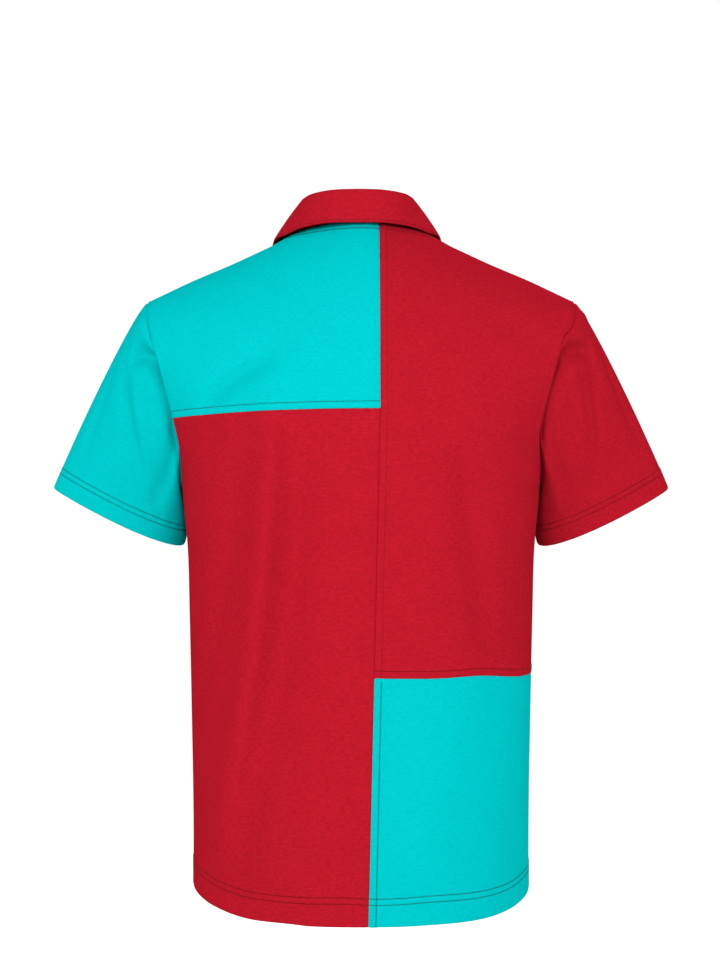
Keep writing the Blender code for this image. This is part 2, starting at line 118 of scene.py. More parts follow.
FRONT_CREASES = (
    (0.120, -0.620, 0.085, -0.280, 0.000, 0.0068, 0.0260),
    (-0.135, -0.600, -0.080, -0.300, 0.000, 0.0068, 0.0240),
    (-0.070, -0.640, -0.040, -0.380, 0.000, -0.0051, 0.0220),
    (0.160, -0.150, 0.100, -0.260, 0.000, -0.0051, 0.0180),
    (-0.160, -0.160, -0.105, -0.250, 0.000, -0.0051, 0.0180),
    (0.168, -0.190, 0.115, -0.225, 0.006, -0.0034, 0.0100),
    (-0.170, -0.200, -0.120, -0.228, -0.006, -0.0031, 0.0110),
    (0.040, -0.560, 0.030, -0.300, 0.008, -0.0027, 0.0180),
    (0.155, -0.630, 0.140, -0.520, 0.004, -0.0031, 0.0110),
    (-0.152, -0.640, -0.128, -0.560, -0.004, -0.0027, 0.0100),
    (0.020, -0.235, 0.060, -0.300, 0.004, -0.0020, 0.0100),
    (-0.022, -0.240, -0.055, -0.320, -0.004, -0.0024, 0.0110),
    (0.150, -0.095, 0.085, -0.070, 0.004, -0.0024, 0.0120),
    (-0.145, -0.092, -0.090, -0.072, 0.004, -0.0024, 0.0120),
)
CREASES = {"back": BACK_CREASES, "front": FRONT_CREASES}

# The back's seams
SEAM_SETBACK = 0.0002  # half the gap between two pieces at a seam
CENTRE_SEAM_TOP_X, CENTRE_SEAM_HEM_X = -0.0192, -0.0075
LEFT_SEAM_Z, LEFT_SEAM_END_X, LEFT_SEAM_END_Z = -0.188, 0.1929, -0.1952
TOPSTITCH = 0.0065  # from a seam to its topstitching

# Lines of the grid, measured from a seam: close together where the cloth bends over its allowance
OVER_SEAM = (0.0, 0.0006, 0.0018, 0.0038, 0.0054, 0.0060, TOPSTITCH, 0.0070, 0.0077, 0.0100)
UNDER_SEAM = (-0.0020, -0.0010, 0.0, 0.0008, 0.0018, 0.0035, 0.0060)
GRID_STEP, SHOULDER_STEP = 0.0032, 0.0026
SHOULDER_CROWD = 0.9  # how strongly the lines draw together towards the shoulder, where the wall turns in
QUARTER_RING = 0.27  # about a quarter of the way round the body
MEASURED_AT = 0.1  # x at which the height of a strip of the grid is measured

JERSEY = 0.0011  # thickness of the cloth
RIM_ROUND = 0.4  # how far its rim stands out, as a share of its thickness
TURQUOISE = (0.0002, 0.235, 0.240)
WALE, COURSE = 0.00095, 0.00075  # width and height of one knitted stitch
PUSH_IN = 0.0011  # how deep the edge of a piece lies under the one that is sewn over it


def column(table, names, name):
    """One named column of a table, as an array."""
    return np.array([row[names.index(name)] for row in table])


def smooth(table, names, key, name, at):
    """The named column as a smooth function of the key column: a cubic on each step, with averaged slopes."""
    xs, ys = column(table, names, key), column(table, names, name)
    at = np.clip(at, xs[0], xs[-1])
    slopes = np.gradient(ys, xs)
    i = np.clip(np.searchsorted(xs, at) - 1, 0, len(xs) - 2)
    step = xs[i + 1] - xs[i]
    u = (at - xs[i]) / step
    rise = ys[i + 1] - ys[i]
    start, end = slopes[i] * step, slopes[i + 1] * step
    return ys[i] + u * start + u**2 * (3 * rise - 2 * start - end) + u**3 * (start + end - 2 * rise)


def ramp(at):
    """0 below 0 and 1 above 1, with a smooth S between them: 3 t^2 - 2 t^3."""
    t = np.clip(at, 0, 1)
    return t * t * (3 - 2 * t)


def bell(at, width):
    """1 at zero and fading to both sides: e^(-(at / width)^2)."""
    return np.exp(-((at / width) ** 2))


def creased(x, z, table):
    """Lift of the cloth over its creases: for each, a bell across its bowed line, fading beyond both ends."""
    lift = 0.0
    for x0, z0, x1, z1, bow, rise, spread in table:
        run_x, run_z = x1 - x0, z1 - z0
        length = np.hypot(run_x, run_z)
        along = ((x - x0) * run_x + (z - z0) * run_z) / length**2
        off = ((x - x0) * run_z - (z - z0) * run_x) / length - bow * (1 - (2 * along - 1) ** 2)
        fade = np.clip(1 - (2 * along - 1) ** 4 / 3.2, 0, 1) ** 1.5
        lift = lift + rise * fade * bell(off, spread)
    return lift


def ridge_z(x):
    """Height of the shoulder ridge: two slopes rounded into each other at the neck, slightly hollow."""
    hollow = SHOULDER_HOLLOW * ramp((np.abs(x) - HOLLOW_START_X) / 0.025)
    hollow = hollow * (1 - ramp((np.abs(x) - HOLLOW_END_X) / 0.06))
    return SHOULDER_SLOPE * (np.hypot(NECK_HALF_WIDTH, RIDGE_ROUND) - np.hypot(x, RIDGE_ROUND)) - hollow


SHOULDER_Z = float(ridge_z(SHOULDER_X))


def top_z(x, wall):
    """Upper edge of a wall: the neck seam, nearly level behind and a round scoop in front, then the ridge."""
    inside = np.clip(1 - (x / NECK_HALF_WIDTH) ** 2, 0, 1)
    neck = NECK_BACK_RISE * inside**0.7 if wall == "back" else -NECK_FRONT_DROP * inside**0.6
    return np.where(np.abs(x) < NECK_HALF_WIDTH, neck, ridge_z(x))


def hem_z(x):
    """Lower edge of the body: nearly level in the middle, rising with the fourth power of x to the sides.

    It lies a little lower on the right, by a ramp, and on the left, by a bell.
    """
    rise = (HEM_SIDE_Z - HEM_MIDDLE_Z) * (x / BODY_SECTIONS[0][1]) ** 4
    left = HEM_LEFT_DROP * bell(x - HEM_LEFT_DROP_X, 0.030)
    return HEM_MIDDLE_Z + rise - left - HEM_RIGHT_DROP * ramp((HEM_RIGHT_DROP_X - x) / 0.10)


def edge_x(z, wall):
    """Half width of a wall where it ends: at the side seam, or above the underarm at the armhole."""
    side = smooth(BODY_SECTIONS, BODY_COLUMNS, "z", "half_width", z)
    armhole = smooth(ARMHOLE_EDGE, ARMHOLE_COLUMNS, "z", wall, z)
    return np.where(z < UNDERARM_Z, side, armhole)


def wall_depth(x, z, wall):
    """Distance of a wall from the mid-plane: a ring's rounding across, the shoulder's rounding above."""
    above = np.maximum(z - UNDERARM_Z, 0)
    ring = edge_x(z, wall) / (1 - ARMHOLE_BEND * above - ARMHOLE_CURVE * above**2)
    out = np.clip(np.abs(x) / ring, 0, 1)
    across = (1 - out**WALL_ROUNDNESS) ** (1 / WALL_ROUNDNESS)
    below = np.clip((ridge_z(x) - z) / SHOULDER_DROP, 0, 1)
    shoulder = np.sqrt(1 - (1 - below) ** 2)
    full = smooth(BODY_SECTIONS, BODY_COLUMNS, "z", wall, z)
    return (full + creased(x, z, CREASES[wall])) * across * shoulder


def on_wall(x, z, wall):
    """Points of the body's outer surface at x and z."""
    facing = 1.0 if wall == "back" else -1.0
    return np.stack([x, facing * wall_depth(x, z, wall), z], axis=-1)


def centre_seam_x(z):
    """The back's upright seam: straight down beside the upper left block, then slanting to the hem."""
    below = np.clip((LEFT_SEAM_Z - z) / (LEFT_SEAM_Z - HEM_MIDDLE_Z), 0, 1)
    return CENTRE_SEAM_TOP_X + (CENTRE_SEAM_HEM_X - CENTRE_SEAM_TOP_X) * below


def left_seam_z(x):
    """The cross seam between the two left blocks, sagging towards the armhole."""
    out = (x - CENTRE_SEAM_TOP_X) / (LEFT_SEAM_END_X - CENTRE_SEAM_TOP_X)
    return LEFT_SEAM_Z + (LEFT_SEAM_END_Z - LEFT_SEAM_Z) * out**2


def rows_between(low, high, step=GRID_STEP, crowd=0.0):
    """Lines at even shares from one line to another.

    crowd, from 0 to 1, draws them towards the upper one by mixing in a quarter of a sine wave.
    """
    t = np.linspace(0, 1, int(round((high(MEASURED_AT) - low(MEASURED_AT)) / step)) + 1)[1:-1]
    shares = (1 - crowd) * t + crowd * np.sin(t * np.pi / 2)
    return [lambda x, share=share: low(x) + (high(x) - low(x)) * share for share in shares]


def beside(line, distances):
    """Copies of a line, moved up by each distance."""
    return [lambda x, distance=distance: line(x) + distance for distance in distances]


def panel(wall, side, seam_x, from_seam, lines):
    """x and z of a grid on half a wall: columns from the seam to the wall's edge, a row on each line.

    The first columns keep their distances from the seam. The others turn evenly round the ring, like the sine
    of an angle. Heights depend on x and the ring's width on the height, so the two are settled by repetition.
    The columns are given in the order in which they run to the right, seen from outside.
    """
    near = np.array(from_seam)
    turns = np.linspace(0, 1, int(round(QUARTER_RING / GRID_STEP)))[1:]
    z = np.stack([line(np.full(near.size + turns.size, MEASURED_AT)) for line in lines])
    for _ in range(6):
        edge = edge_x(z[:, near.size:], wall)
        start = np.arcsin((seam_x(z[:, near.size:]) + near[-1]) / edge)
        turned = edge * np.sin(start + (np.pi / 2 - start) * turns)
        x = side * np.concatenate([seam_x(z[:, :near.size]) + near, turned], axis=1)
        z = np.stack([line(row) for line, row in zip(lines, x)])
    order = -side if wall == "back" else side
    return x[:, ::order], z[:, ::order]


def facing_out(points, wrapped=False):
    """Directions square to a grid of points: the cross product of its steps to the right and up."""
    wide = np.concatenate([points[:, -1:], points, points[:, :1]], axis=1) if wrapped else points
    right = np.gradient(wide, axis=1)
    right = right[:, 1:-1] if wrapped else right
    square = np.cross(right, np.gradient(points, axis=0))
    return square / np.maximum(np.linalg.norm(square, axis=-1, keepdims=True), 1e-12)


def pushed(points, by, wrapped=False):
    """Points moved square to their own surface, outwards where by is positive."""
    return points + facing_out(points, wrapped) * np.broadcast_to(by, points.shape[:2])[..., None]


def laid_flat(points):
    """Each point's place on the flat cloth: its distance along its row from the middle, and up its column."""
    along_row = np.linalg.norm(np.diff(points, axis=1), axis=-1)
    up_column = np.linalg.norm(np.diff(points, axis=0), axis=-1)
    across = np.pad(np.cumsum(along_row, axis=1), ((0, 0), (1, 0)))
    up = np.pad(np.cumsum(up_column, axis=0), ((1, 0), (0, 0)))
    return np.stack([across - across[:, -1:] / 2, up], axis=-1)


def placed(name, mesh, finish):
    """The smooth object of a finished mesh, with its finish. It rides with the rest of the shirt."""
    mesh.materials.append(finish)
    mesh.shade_smooth()
    made = bpy.data.objects.new(name, mesh)
    bpy.context.scene.collection.objects.link(made)
    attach(made, "root")
    return made


def stands_for(node):
    """Hides the node's part, which the piece replaces."""
    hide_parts(node)


def cloth(name, base, relief, depth, flat, finish, wrapped=False):
    """A closed shell of cloth round a grid of points, with a half-round rim.

    The outer face is the base pushed out by the relief and the lining is the base pushed in by the depth.
    wrapped joins the last column to the first, for a tube. The flat places become the piece's own UV map.
    """
    square = facing_out(base, wrapped)
    outer = base + square * np.broadcast_to(relief, base.shape[:2])[..., None]
    lining = base - square * np.broadcast_to(depth, base.shape[:2])[..., None]
    count = base[..., 0].size
    number = np.arange(count).reshape(base.shape[:2])
    if wrapped:
        number = np.concatenate([number, number[:, :1]], axis=1)
    corner = np.arange(number.size).reshape(number.shape)
    quads = np.stack([corner[:-1, :-1], corner[:-1, 1:], corner[1:, 1:], corner[1:, :-1]], axis=-1)
    quads = quads.reshape(-1, 4)
    point_of, flat_of = number.ravel(), flat.reshape(-1, 2)
    points = [outer.reshape(-1, 3), lining.reshape(-1, 3)]
    faces = [point_of[quads], point_of[quads[:, ::-1]] + count]
    places = [flat_of[quads], flat_of[quads[:, ::-1]]]
    rims = [corner[0], corner[-1, ::-1]]
    if not wrapped:
        rims = [np.concatenate([corner[0, :-1], corner[:-1, -1], corner[-1, :0:-1], corner[::-1, 0]])]
    total = 2 * count
    for rim in rims:
        here, ahead = point_of[rim[:-1]], point_of[rim[1:]]
        tangent = outer.reshape(-1, 3)[ahead] - outer.reshape(-1, 3)[np.roll(here, 1)]
        away = np.cross(tangent, square.reshape(-1, 3)[here])
        away /= np.maximum(np.linalg.norm(away, axis=1, keepdims=True), 1e-12)
        edge, fold = points[0][here], points[1][here]
        deep = np.linalg.norm(edge - fold, axis=1, keepdims=True)
        points.append((edge + fold) / 2 + away * deep * RIM_ROUND)
        middle = total + np.arange(len(here))
        next_middle = np.roll(middle, -1)
        faces.append(np.stack([ahead, here, middle, next_middle], axis=-1))
        faces.append(np.stack([next_middle, middle, here + count, ahead + count], axis=-1))
        place = flat_of[np.stack([rim[1:], rim[:-1], rim[:-1], rim[1:]], axis=-1)]
        places += [place, place]
        total += len(here)
    mesh = bpy.data.meshes.new(name)
    mesh.from_pydata(np.concatenate(points).tolist(), [], np.concatenate(faces).tolist())
    layer = mesh.uv_layers.new(name="cloth")
    layer.data.foreach_set("uv", np.concatenate(places).astype(np.float32).ravel())
    return placed(name, mesh, finish), outer


def new_finish(name, roughness):
    """A new material, its nodes, the function that links them, and its shader."""
    made = bpy.data.materials.new(name)
    made.use_nodes = True
    shader = made.node_tree.nodes["Principled BSDF"]
    shader.inputs["Roughness"].default_value = roughness
    return made, made.node_tree.nodes, made.node_tree.links.new, shader


def two_tones(nodes, link, share, dark, light):
    """A colour that runs from dark to light as a value runs from 0 to 1."""
    mix = nodes.new("ShaderNodeMix")
    mix.data_type = "RGBA"
    mix.inputs["A"].default_value = (*dark, 1.0)
    mix.inputs["B"].default_value = (*light, 1.0)
    link(share, mix.inputs["Factor"])
    return mix.outputs["Result"]


def jersey(name, colour, mottle):
    """Cotton jersey: rows of knitted stitches as bump and as painted shade that darkens their grooves a
    little; slubs and soft patches as small changes of colour.
    """
    made, nodes, link, shader = new_finish(name, 1.0)
    shader.inputs["Specular IOR Level"].default_value = 0.0
    shader.inputs["Specular Tint"].default_value = (*colour, 1.0)
    shader.inputs["Sheen Weight"].default_value = 0.10
    shader.inputs["Sheen Roughness"].default_value = 0.6
    shader.inputs["Sheen Tint"].default_value = (*colour, 1.0)
    place = nodes.new("ShaderNodeUVMap")
    place.uv_map = "cloth"

    def scaled(across, up):
        """The flat place with its two directions scaled, so that a pattern is longer one way."""
        mapping = nodes.new("ShaderNodeMapping")
        mapping.inputs["Scale"].default_value = (across, up, 1.0)
        link(place.outputs["UV"], mapping.inputs["Vector"])
        return mapping.outputs["Vector"]

    def sum_of(parts):
        """Weighted sum of values."""
        total = None
        for value, weight in parts:
            step = nodes.new("ShaderNodeMath")
            step.operation = "MULTIPLY_ADD"
            link(value, step.inputs[0])
            step.inputs[1].default_value = weight
            if total is None:
                step.inputs[2].default_value = 0.0
            else:
                link(total, step.inputs[2])
            total = step.outputs[0]
        return total

    def speckle(across, up, detail):
        """Noise with features of the given number to a metre, across and up."""
        noise = nodes.new("ShaderNodeTexNoise")
        noise.noise_dimensions = "2D"
        noise.inputs["Scale"].default_value = 1.0
        noise.inputs["Detail"].default_value = detail
        link(scaled(across, up), noise.inputs["Vector"])
        return noise.outputs["Fac"]

    def ribs(direction, pitch):
        """Round ribs at a pitch, across or up."""
        wave = nodes.new("ShaderNodeTexWave")
        wave.bands_direction = direction
        wave.inputs["Scale"].default_value = 0.3142 / pitch
        wave.inputs["Distortion"].default_value = 0.35
        wave.inputs["Detail Scale"].default_value = 1.5
        link(place.outputs["UV"], wave.inputs["Vector"])
        return wave.outputs["Fac"]

    wales, courses = ribs("X", WALE), ribs("Y", COURSE)
    slub, patch, thread = speckle(210, 460, 3.0), speckle(26, 36, 2.0), speckle(70, 1200, 2.0)
    # The knit's ribs also darken the colour a little in their grooves: painted shade. The slubs, patches and
    # long streaks are the yarn's own uneven tone.
    mottle_and_groove_shade = sum_of([(slub, 1.1), (patch, 0.20), (thread, 0.5), (wales, 0.08), (courses, 0.08)])
    blend = nodes.new("ShaderNodeMapRange")
    blend.inputs["From Min"].default_value = 0.62
    blend.inputs["From Max"].default_value = 1.34
    link(mottle_and_groove_shade, blend.inputs["Value"])
    dark, light = (np.array(colour) * (1 + sign * mottle) for sign in (-1, 1))
    link(two_tones(nodes, link, blend.outputs["Result"], dark, light), shader.inputs["Base Color"])
    bump = nodes.new("ShaderNodeBump")
    bump.inputs["Strength"].default_value = 0.5
    bump.inputs["Distance"].default_value = 0.00025
    link(sum_of([(wales, 0.5), (courses, 0.35), (slub, 0.6)]), bump.inputs["Height"])
    link(bump.outputs["Normal"], shader.inputs["Normal"])
    return made


def over_seam(distance):
    """Relief beside a topstitched seam: a band raised by its allowance, a stitched groove, a turned edge."""
    band = 0.0005 * (1 - ramp((distance - TOPSTITCH) / 0.0030))
    return band - 0.0004 * bell(distance - TOPSTITCH, 0.0006) - 0.0004 * bell(distance, 0.0009)


def under_seam(distance):
    """Cloth beside a seam that goes under the next piece: it dips before it reaches the seam."""
    return -PUSH_IN * (1 - ramp((distance + 0.0012) / 0.0040))


def drawn_in(distance):
    """Cloth at the edge of a piece where a plain seam draws it in."""
    return -0.0008 * bell(distance, 0.0016)


def stitches(name, lines, finish, length=0.0030, gap=0.0001, radius=0.00034):
    """Sewing thread along lines on the cloth, each a row of points and the directions out of the cloth there.

    Each stitch is a six-sided tube on its stretch of the line. Its radius follows the fourth root of a half
    sine, so both ends dip into the cloth and are closed.
    """
    t = np.array([0.02, 0.12, 0.5, 0.88, 0.98])
    sides = 6
    last_ring, tube_size = sides * (t.size - 1), sides * t.size
    turn = np.radians(360.0 / sides) * np.arange(sides)
    tubes = []
    for points, out in lines:
        run = np.append(0, np.cumsum(np.linalg.norm(np.diff(points, axis=0), axis=1)))
        at = np.arange(0, run[-1] - length, length + gap)[:, None] + length * t
        centre, up = (
            np.stack([np.interp(at, run, line[:, i]) for i in range(3)], axis=-1) for line in (points, out))
        ahead = np.gradient(centre, axis=1)
        ahead /= np.linalg.norm(ahead, axis=-1, keepdims=True)
        across = np.cross(ahead, up)
        thick = radius * np.sin(np.pi * t)[:, None, None] ** 0.25
        ring = np.cos(turn)[:, None] * across[:, :, None] + np.sin(turn)[:, None] * up[:, :, None]
        sunk = centre + up * thick[..., 0] * 0.7
        tubes.append((sunk[:, :, None] + ring * thick).reshape(-1, tube_size, 3))
    tubes = np.concatenate(tubes)
    first = tube_size * np.arange(len(tubes))[:, None, None]
    rings = sides * np.arange(t.size - 1)[:, None]
    here = (rings + np.arange(sides)).ravel()
    beyond = (rings + np.roll(np.arange(sides), -1)).ravel()
    walls = np.stack([here, beyond, beyond + sides, here + sides], axis=-1)[None] + first
    caps = np.stack([np.arange(sides)[::-1], np.arange(last_ring, tube_size)])[None] + first
    mesh = bpy.data.meshes.new(name)
    faces = walls.reshape(-1, 4).tolist() + caps.reshape(-1, sides).tolist()
    mesh.from_pydata(tubes.reshape(-1, 3).tolist(), [], faces)
    placed(name, mesh, finish)


def polyester(name, dark, light, grain, roughness, swirl=0.0):
    """Dyed polyester: two tones in noise with so many features to a metre, drawn out into swirls."""
    made, nodes, link, shader = new_finish(name, roughness)
    place = nodes.new("ShaderNodeTexCoord")
    noise = nodes.new("ShaderNodeTexNoise")
    noise.inputs["Scale"].default_value = grain
    noise.inputs["Distortion"].default_value = swirl
    link(place.outputs["Object"], noise.inputs["Vector"])
    link(two_tones(nodes, link, noise.outputs["Fac"], dark, light), shader.inputs["Base Color"])
    return made, shader


def sewing_thread(name, colour):
    """Polyester thread: 0.7 and 1.3 times its colour in fine noise, with a slight shine."""
    dark, light = ([part * mottle_and_groove_shade for part in colour] for mottle_and_groove_shade in (0.7, 1.3))
    made, shader = polyester(name, dark, light, 2500.0, 0.8)
    shader.inputs["Specular IOR Level"].default_value = 0.08
    return made


turquoise = jersey("turquoise jersey", TURQUOISE, 0.08)
teal_thread = sewing_thread("teal thread", (0.0024, 0.054, 0.050))


def left_of_centre(z):
    """Inner line of the back's left blocks: their distance to the left of the shirt's middle."""
    return centre_seam_x(z) + SEAM_SETBACK


def back_top(x):
    """Upper edge of the back."""
    return top_z(x, "back")


rows = beside(left_seam_z, OVER_SEAM)
rows += rows_between(rows[-1], back_top, SHOULDER_STEP, SHOULDER_CROWD) + [back_top]
x, z = panel("back", 1, left_of_centre, UNDER_SEAM, rows)
flat = laid_flat(on_wall(x, z, "back"))
sink = (under_seam(x - left_of_centre(z)) + drawn_in(flat[..., 0] - flat[:, :1, 0])
        + drawn_in(flat[-1, :, 1] - flat[..., 1]))
base = pushed(on_wall(x, z, "back"), sink)
upper_left, outer = cloth("upper_left_jersey", base, over_seam(z - left_seam_z(x)), JERSEY, flat, turquoise)
stands_for("back_upper_left")

# The topstitching of the cross seam
stitched = OVER_SEAM.index(TOPSTITCH)
cross_line = (outer[stitched], facing_out(outer)[stitched])
stitches("left_cross_stitching", [cross_line], teal_thread)


# ---------------------------------------------------------------------------------------------------------
# Back, lower left: a long block of red cotton jersey under the turquoise one. Its lower edge is turned up
# once and held by two rows of stitching. Its upper and its centre edge go under the neighbouring blocks.
# ---------------------------------------------------------------------------------------------------------

RED = (0.201, 0.0041, 0.0095)

# Lines of the grid above the body's lower edge, and its two rows of stitching
HEM_STITCHES = (0.0210, 0.0270)
HEM_EDGE_ROWS = (0.0, 0.0008, 0.0022, 0.0045, 0.0075, 0.0105)
HEM_UPPER_ROWS = (0.0135, 0.0165, 0.0190, 0.0202, 0.0210, 0.0218, 0.0232,
                  0.0248, 0.0262, 0.0270, 0.0278, 0.0290, 0.0312)
HEM_THREAD = 0.00040  # radius of the thicker thread in hems and cuffs
HEM_DEPTH = 0.0285  # how far up the turned hem reaches
HEM_STRAIGHT = 0.012  # up to here the hem follows its edge, above it its hand-guided stitching

red = jersey("red jersey", RED, 0.17)
# The same red thread as red_thread, made darker for most rows on red cloth: the extra darkness is painted
# shade of the grooves and seam steps these rows lie in.
red_thread_with_painted_shade = sewing_thread("red thread with painted shade", (0.105, 0.0007, 0.0022))


def hem_relief(distance, along, rows=HEM_STITCHES):
    """Relief of a turned hem: raised by the turning, grooved at each row of stitches, puckered near them."""
    turned_up = 0.0004 * (1 - ramp((distance - rows[-1]) / 0.0025))
    turned = turned_up - 0.0005 * bell(distance, 0.0012)
    groove = sum(0.0004 * bell(distance - row, 0.0007) for row in rows)
    pucker = np.sin(along / 0.0019 + 2.0 * np.sin(along / 0.017)) * bell(distance - 0.022, 0.008)
    return turned - groove + 0.00018 * pucker


def hem_thickness(distance, reach=HEM_DEPTH):
    """Thickness of the cloth near a hem: double where it is turned up."""
    return JERSEY * (2 - ramp((distance - reach) / 0.0020))


def hem_line(x):
    """The body's lower edge with the slight waver of hand-guided sewing."""
    return hem_z(x) + 0.0006 * np.sin(x / 0.021 + 1.3 * np.sin(x / 0.05))


def above_hem(x, z):
    """Distance above the body's lower edge, or above its wavering copy further up."""
    return z - np.where(z < hem_z(x) + HEM_STRAIGHT, hem_z(x), hem_line(x))


def hem_stitch_lines(outer):
    """Points and outward directions along the hem's two rows of stitching."""
    square = facing_out(outer)
    rows = [(HEM_EDGE_ROWS + HEM_UPPER_ROWS).index(distance) for distance in HEM_STITCHES]
    return [(outer[row], square[row]) for row in rows]


hem_rows = beside(hem_z, HEM_EDGE_ROWS) + beside(hem_line, HEM_UPPER_ROWS)
under_rows = beside(left_seam_z, [-distance for distance in UNDER_SEAM[::-1]])
rows = hem_rows + rows_between(hem_rows[-1], under_rows[0]) + under_rows
x, z = panel("back", 1, left_of_centre, UNDER_SEAM, rows)
flat = laid_flat(on_wall(x, z, "back"))
from_hem = above_hem(x, z)
sink = (under_seam(x - left_of_centre(z)) + under_seam(left_seam_z(x) - z)
        + drawn_in(flat[..., 0] - flat[:, :1, 0]))
base = pushed(on_wall(x, z, "back"), sink)
relief = hem_relief(from_hem, flat[..., 0])
lower_left, outer = cloth("lower_left_jersey", base, relief, hem_thickness(from_hem), flat, red)
stands_for("back_lower_left")
lines = hem_stitch_lines(outer)
stitches("lower_left_hem_stitching", lines, red_thread_with_painted_shade, radius=HEM_THREAD)


# ---------------------------------------------------------------------------------------------------------
# Back, upper right: a long block of red cotton jersey from the shoulder to below the waist. It lies over
# the left blocks at the centre and over the block below it, and is topstitched along both seams.
# ---------------------------------------------------------------------------------------------------------

RIGHT_SEAM_Z, RIGHT_SEAM_SAG = -0.451, 0.007
RIGHT_SEAM_WAVE, RIGHT_SEAM_WAVE_X = 0.0028, -0.118  # the seam is drawn up a little round this place
RIGHT_ARMHOLE_INSET = 0.0078  # the right armhole is cut further in behind, between these two heights
INSET_TOP_Z, INSET_FOOT_Z = -0.096, -0.250

red_thread = sewing_thread("red thread", (0.165, 0.0022, 0.0060))


def right_of_centre(z):
    """Inner line of the back's right blocks: their distance to the right of the shirt's middle."""
    return SEAM_SETBACK - centre_seam_x(z)


def right_seam_z(x):
    """The cross seam between the two right blocks: it sags towards the side seam, with one low wave."""
    wave = RIGHT_SEAM_WAVE * bell(x - RIGHT_SEAM_WAVE_X, 0.030)
    return RIGHT_SEAM_Z - RIGHT_SEAM_SAG * (x / BODY_SECTIONS[0][1]) ** 2 + wave


def underarm(x):
    """The level of the underarm."""
    return UNDERARM_Z + 0.0 * x


def narrowed(z):
    """Share of the armhole's inset at a height: none at the shoulder and the underarm, all between them."""
    return ramp((INSET_TOP_Z - z) / 0.018) * ramp((z - INSET_FOOT_Z) / 0.045)


rows = beside(right_seam_z, OVER_SEAM)
rows += rows_between(rows[-1], underarm) + [underarm]
rows += rows_between(underarm, back_top, SHOULDER_STEP, SHOULDER_CROWD) + [back_top]
x, z = panel("back", -1, right_of_centre, OVER_SEAM, rows)
x = x + RIGHT_ARMHOLE_INSET * narrowed(z) * (np.abs(x) / edge_x(z, "back")) ** 4
flat = laid_flat(on_wall(x, z, "back"))
sink = drawn_in(flat[:, -1:, 0] - flat[..., 0]) + drawn_in(flat[-1, :, 1] - flat[..., 1])
base = pushed(on_wall(x, z, "back"), sink)
relief = over_seam(np.minimum(-x - right_of_centre(z), z - right_seam_z(x)))
upper_right, outer = cloth("upper_right_jersey", base, relief, JERSEY, flat, red)
stands_for("back_upper_right")
square = facing_out(outer)
cross_line = (outer[stitched], square[stitched])
stitches("right_cross_stitching", [cross_line], red_thread_with_painted_shade)
centre_line = (outer[:, stitched], square[:, stitched])
stitches("centre_stitching", [centre_line], red_thread, radius=0.00028)


# ---------------------------------------------------------------------------------------------------------
# Back, lower right: a block of turquoise cotton jersey at the hip, hemmed like its neighbour. Its upper
# edge goes under the red block, and its centre edge lies over the left one.
# ---------------------------------------------------------------------------------------------------------

under_rows = beside(right_seam_z, [-distance for distance in UNDER_SEAM[::-1]])
rows = hem_rows + rows_between(hem_rows[-1], under_rows[0]) + under_rows
x, z = panel("back", -1, right_of_centre, OVER_SEAM, rows)
flat = laid_flat(on_wall(x, z, "back"))
from_hem = above_hem(x, z)
sink = under_seam(right_seam_z(x) - z) + drawn_in(flat[:, -1:, 0] - flat[..., 0])
base = pushed(on_wall(x, z, "back"), sink)
relief = over_seam(-x - right_of_centre(z)) + hem_relief(from_hem, flat[..., 0])
lower_right, outer = cloth("lower_right_jersey", base, relief, hem_thickness(from_hem), flat, turquoise)
stands_for("back_lower_right")
centre_line = (outer[:-4, stitched], facing_out(outer)[:-4, stitched])
lines = hem_stitch_lines(outer) + [centre_line]
stitches("lower_right_stitching", lines, teal_thread, radius=0.00038)


# ---------------------------------------------------------------------------------------------------------
# Front: one piece of red cotton jersey from shoulder to hem. Its slit at the neck is closed by the
# placket's two strips, and its shoulder edges lie over the back's.
# ---------------------------------------------------------------------------------------------------------


def front_top(x):
    """Upper edge of the front."""
    return top_z(x, "front")


def middle(z):
    """The shirt's middle line."""
    return 0.0 * z


rows = hem_rows + rows_between(hem_rows[-1], underarm) + [underarm]
rows += rows_between(underarm, front_top, SHOULDER_STEP, SHOULDER_CROWD) + [front_top]
left, right = (panel("front", side, middle, (0.0,), rows) for side in (1, -1))
x, z = (np.concatenate([one[:, :-1], other], axis=1) for one, other in zip(right, left))
flat = laid_flat(on_wall(x, z, "front"))
from_hem = above_hem(x, z)
from_top = flat[-1, :, 1] - flat[..., 1]
sink = drawn_in(flat[..., 0] - flat[:, :1, 0]) + drawn_in(flat[:, -1:, 0] - flat[..., 0])
sink += 0.0006 * (1 - ramp(from_top / 0.010)) * ramp((np.abs(x) - 0.09) / 0.03)
base = pushed(on_wall(x, z, "front"), sink)
relief = hem_relief(from_hem, flat[..., 0])
front, outer = cloth("front_jersey", base, relief, hem_thickness(from_hem), flat, red)
stands_for("front")
lines = hem_stitch_lines(outer)
stitches("front_hem_stitching", lines, red_thread_with_painted_shade, radius=HEM_THREAD)


# ---------------------------------------------------------------------------------------------------------
# Placket: two strips of red jersey, folded double and fused. The under strip lies inside the front's slit.
# The over strip covers it outside and is topstitched down both sides, with a crossed box at its lower end.
# ---------------------------------------------------------------------------------------------------------

PLACKET_HALF_WIDTH, UNDER_HALF_WIDTH = 0.0160, 0.0122
PLACKET_END_Z, UNDER_END_Z = -0.2227, -0.2150
UNDER_THICKNESS = 0.0014
PLACKET_LIFT, PLACKET_THICKNESS = 0.0019, 0.0019
PLACKET_STITCH = 0.0022  # from the strip's edges to its stitching
PLACKET_STITCH_TOP_Z, PLACKET_BOX = -0.0625, 0.026  # top of the stitching, and height of its box
STRIP_COLUMNS, STRIP_ROWS = 29, 72
BELOW_NECK = 0.0004  # a strip ends this far below the neck's edge


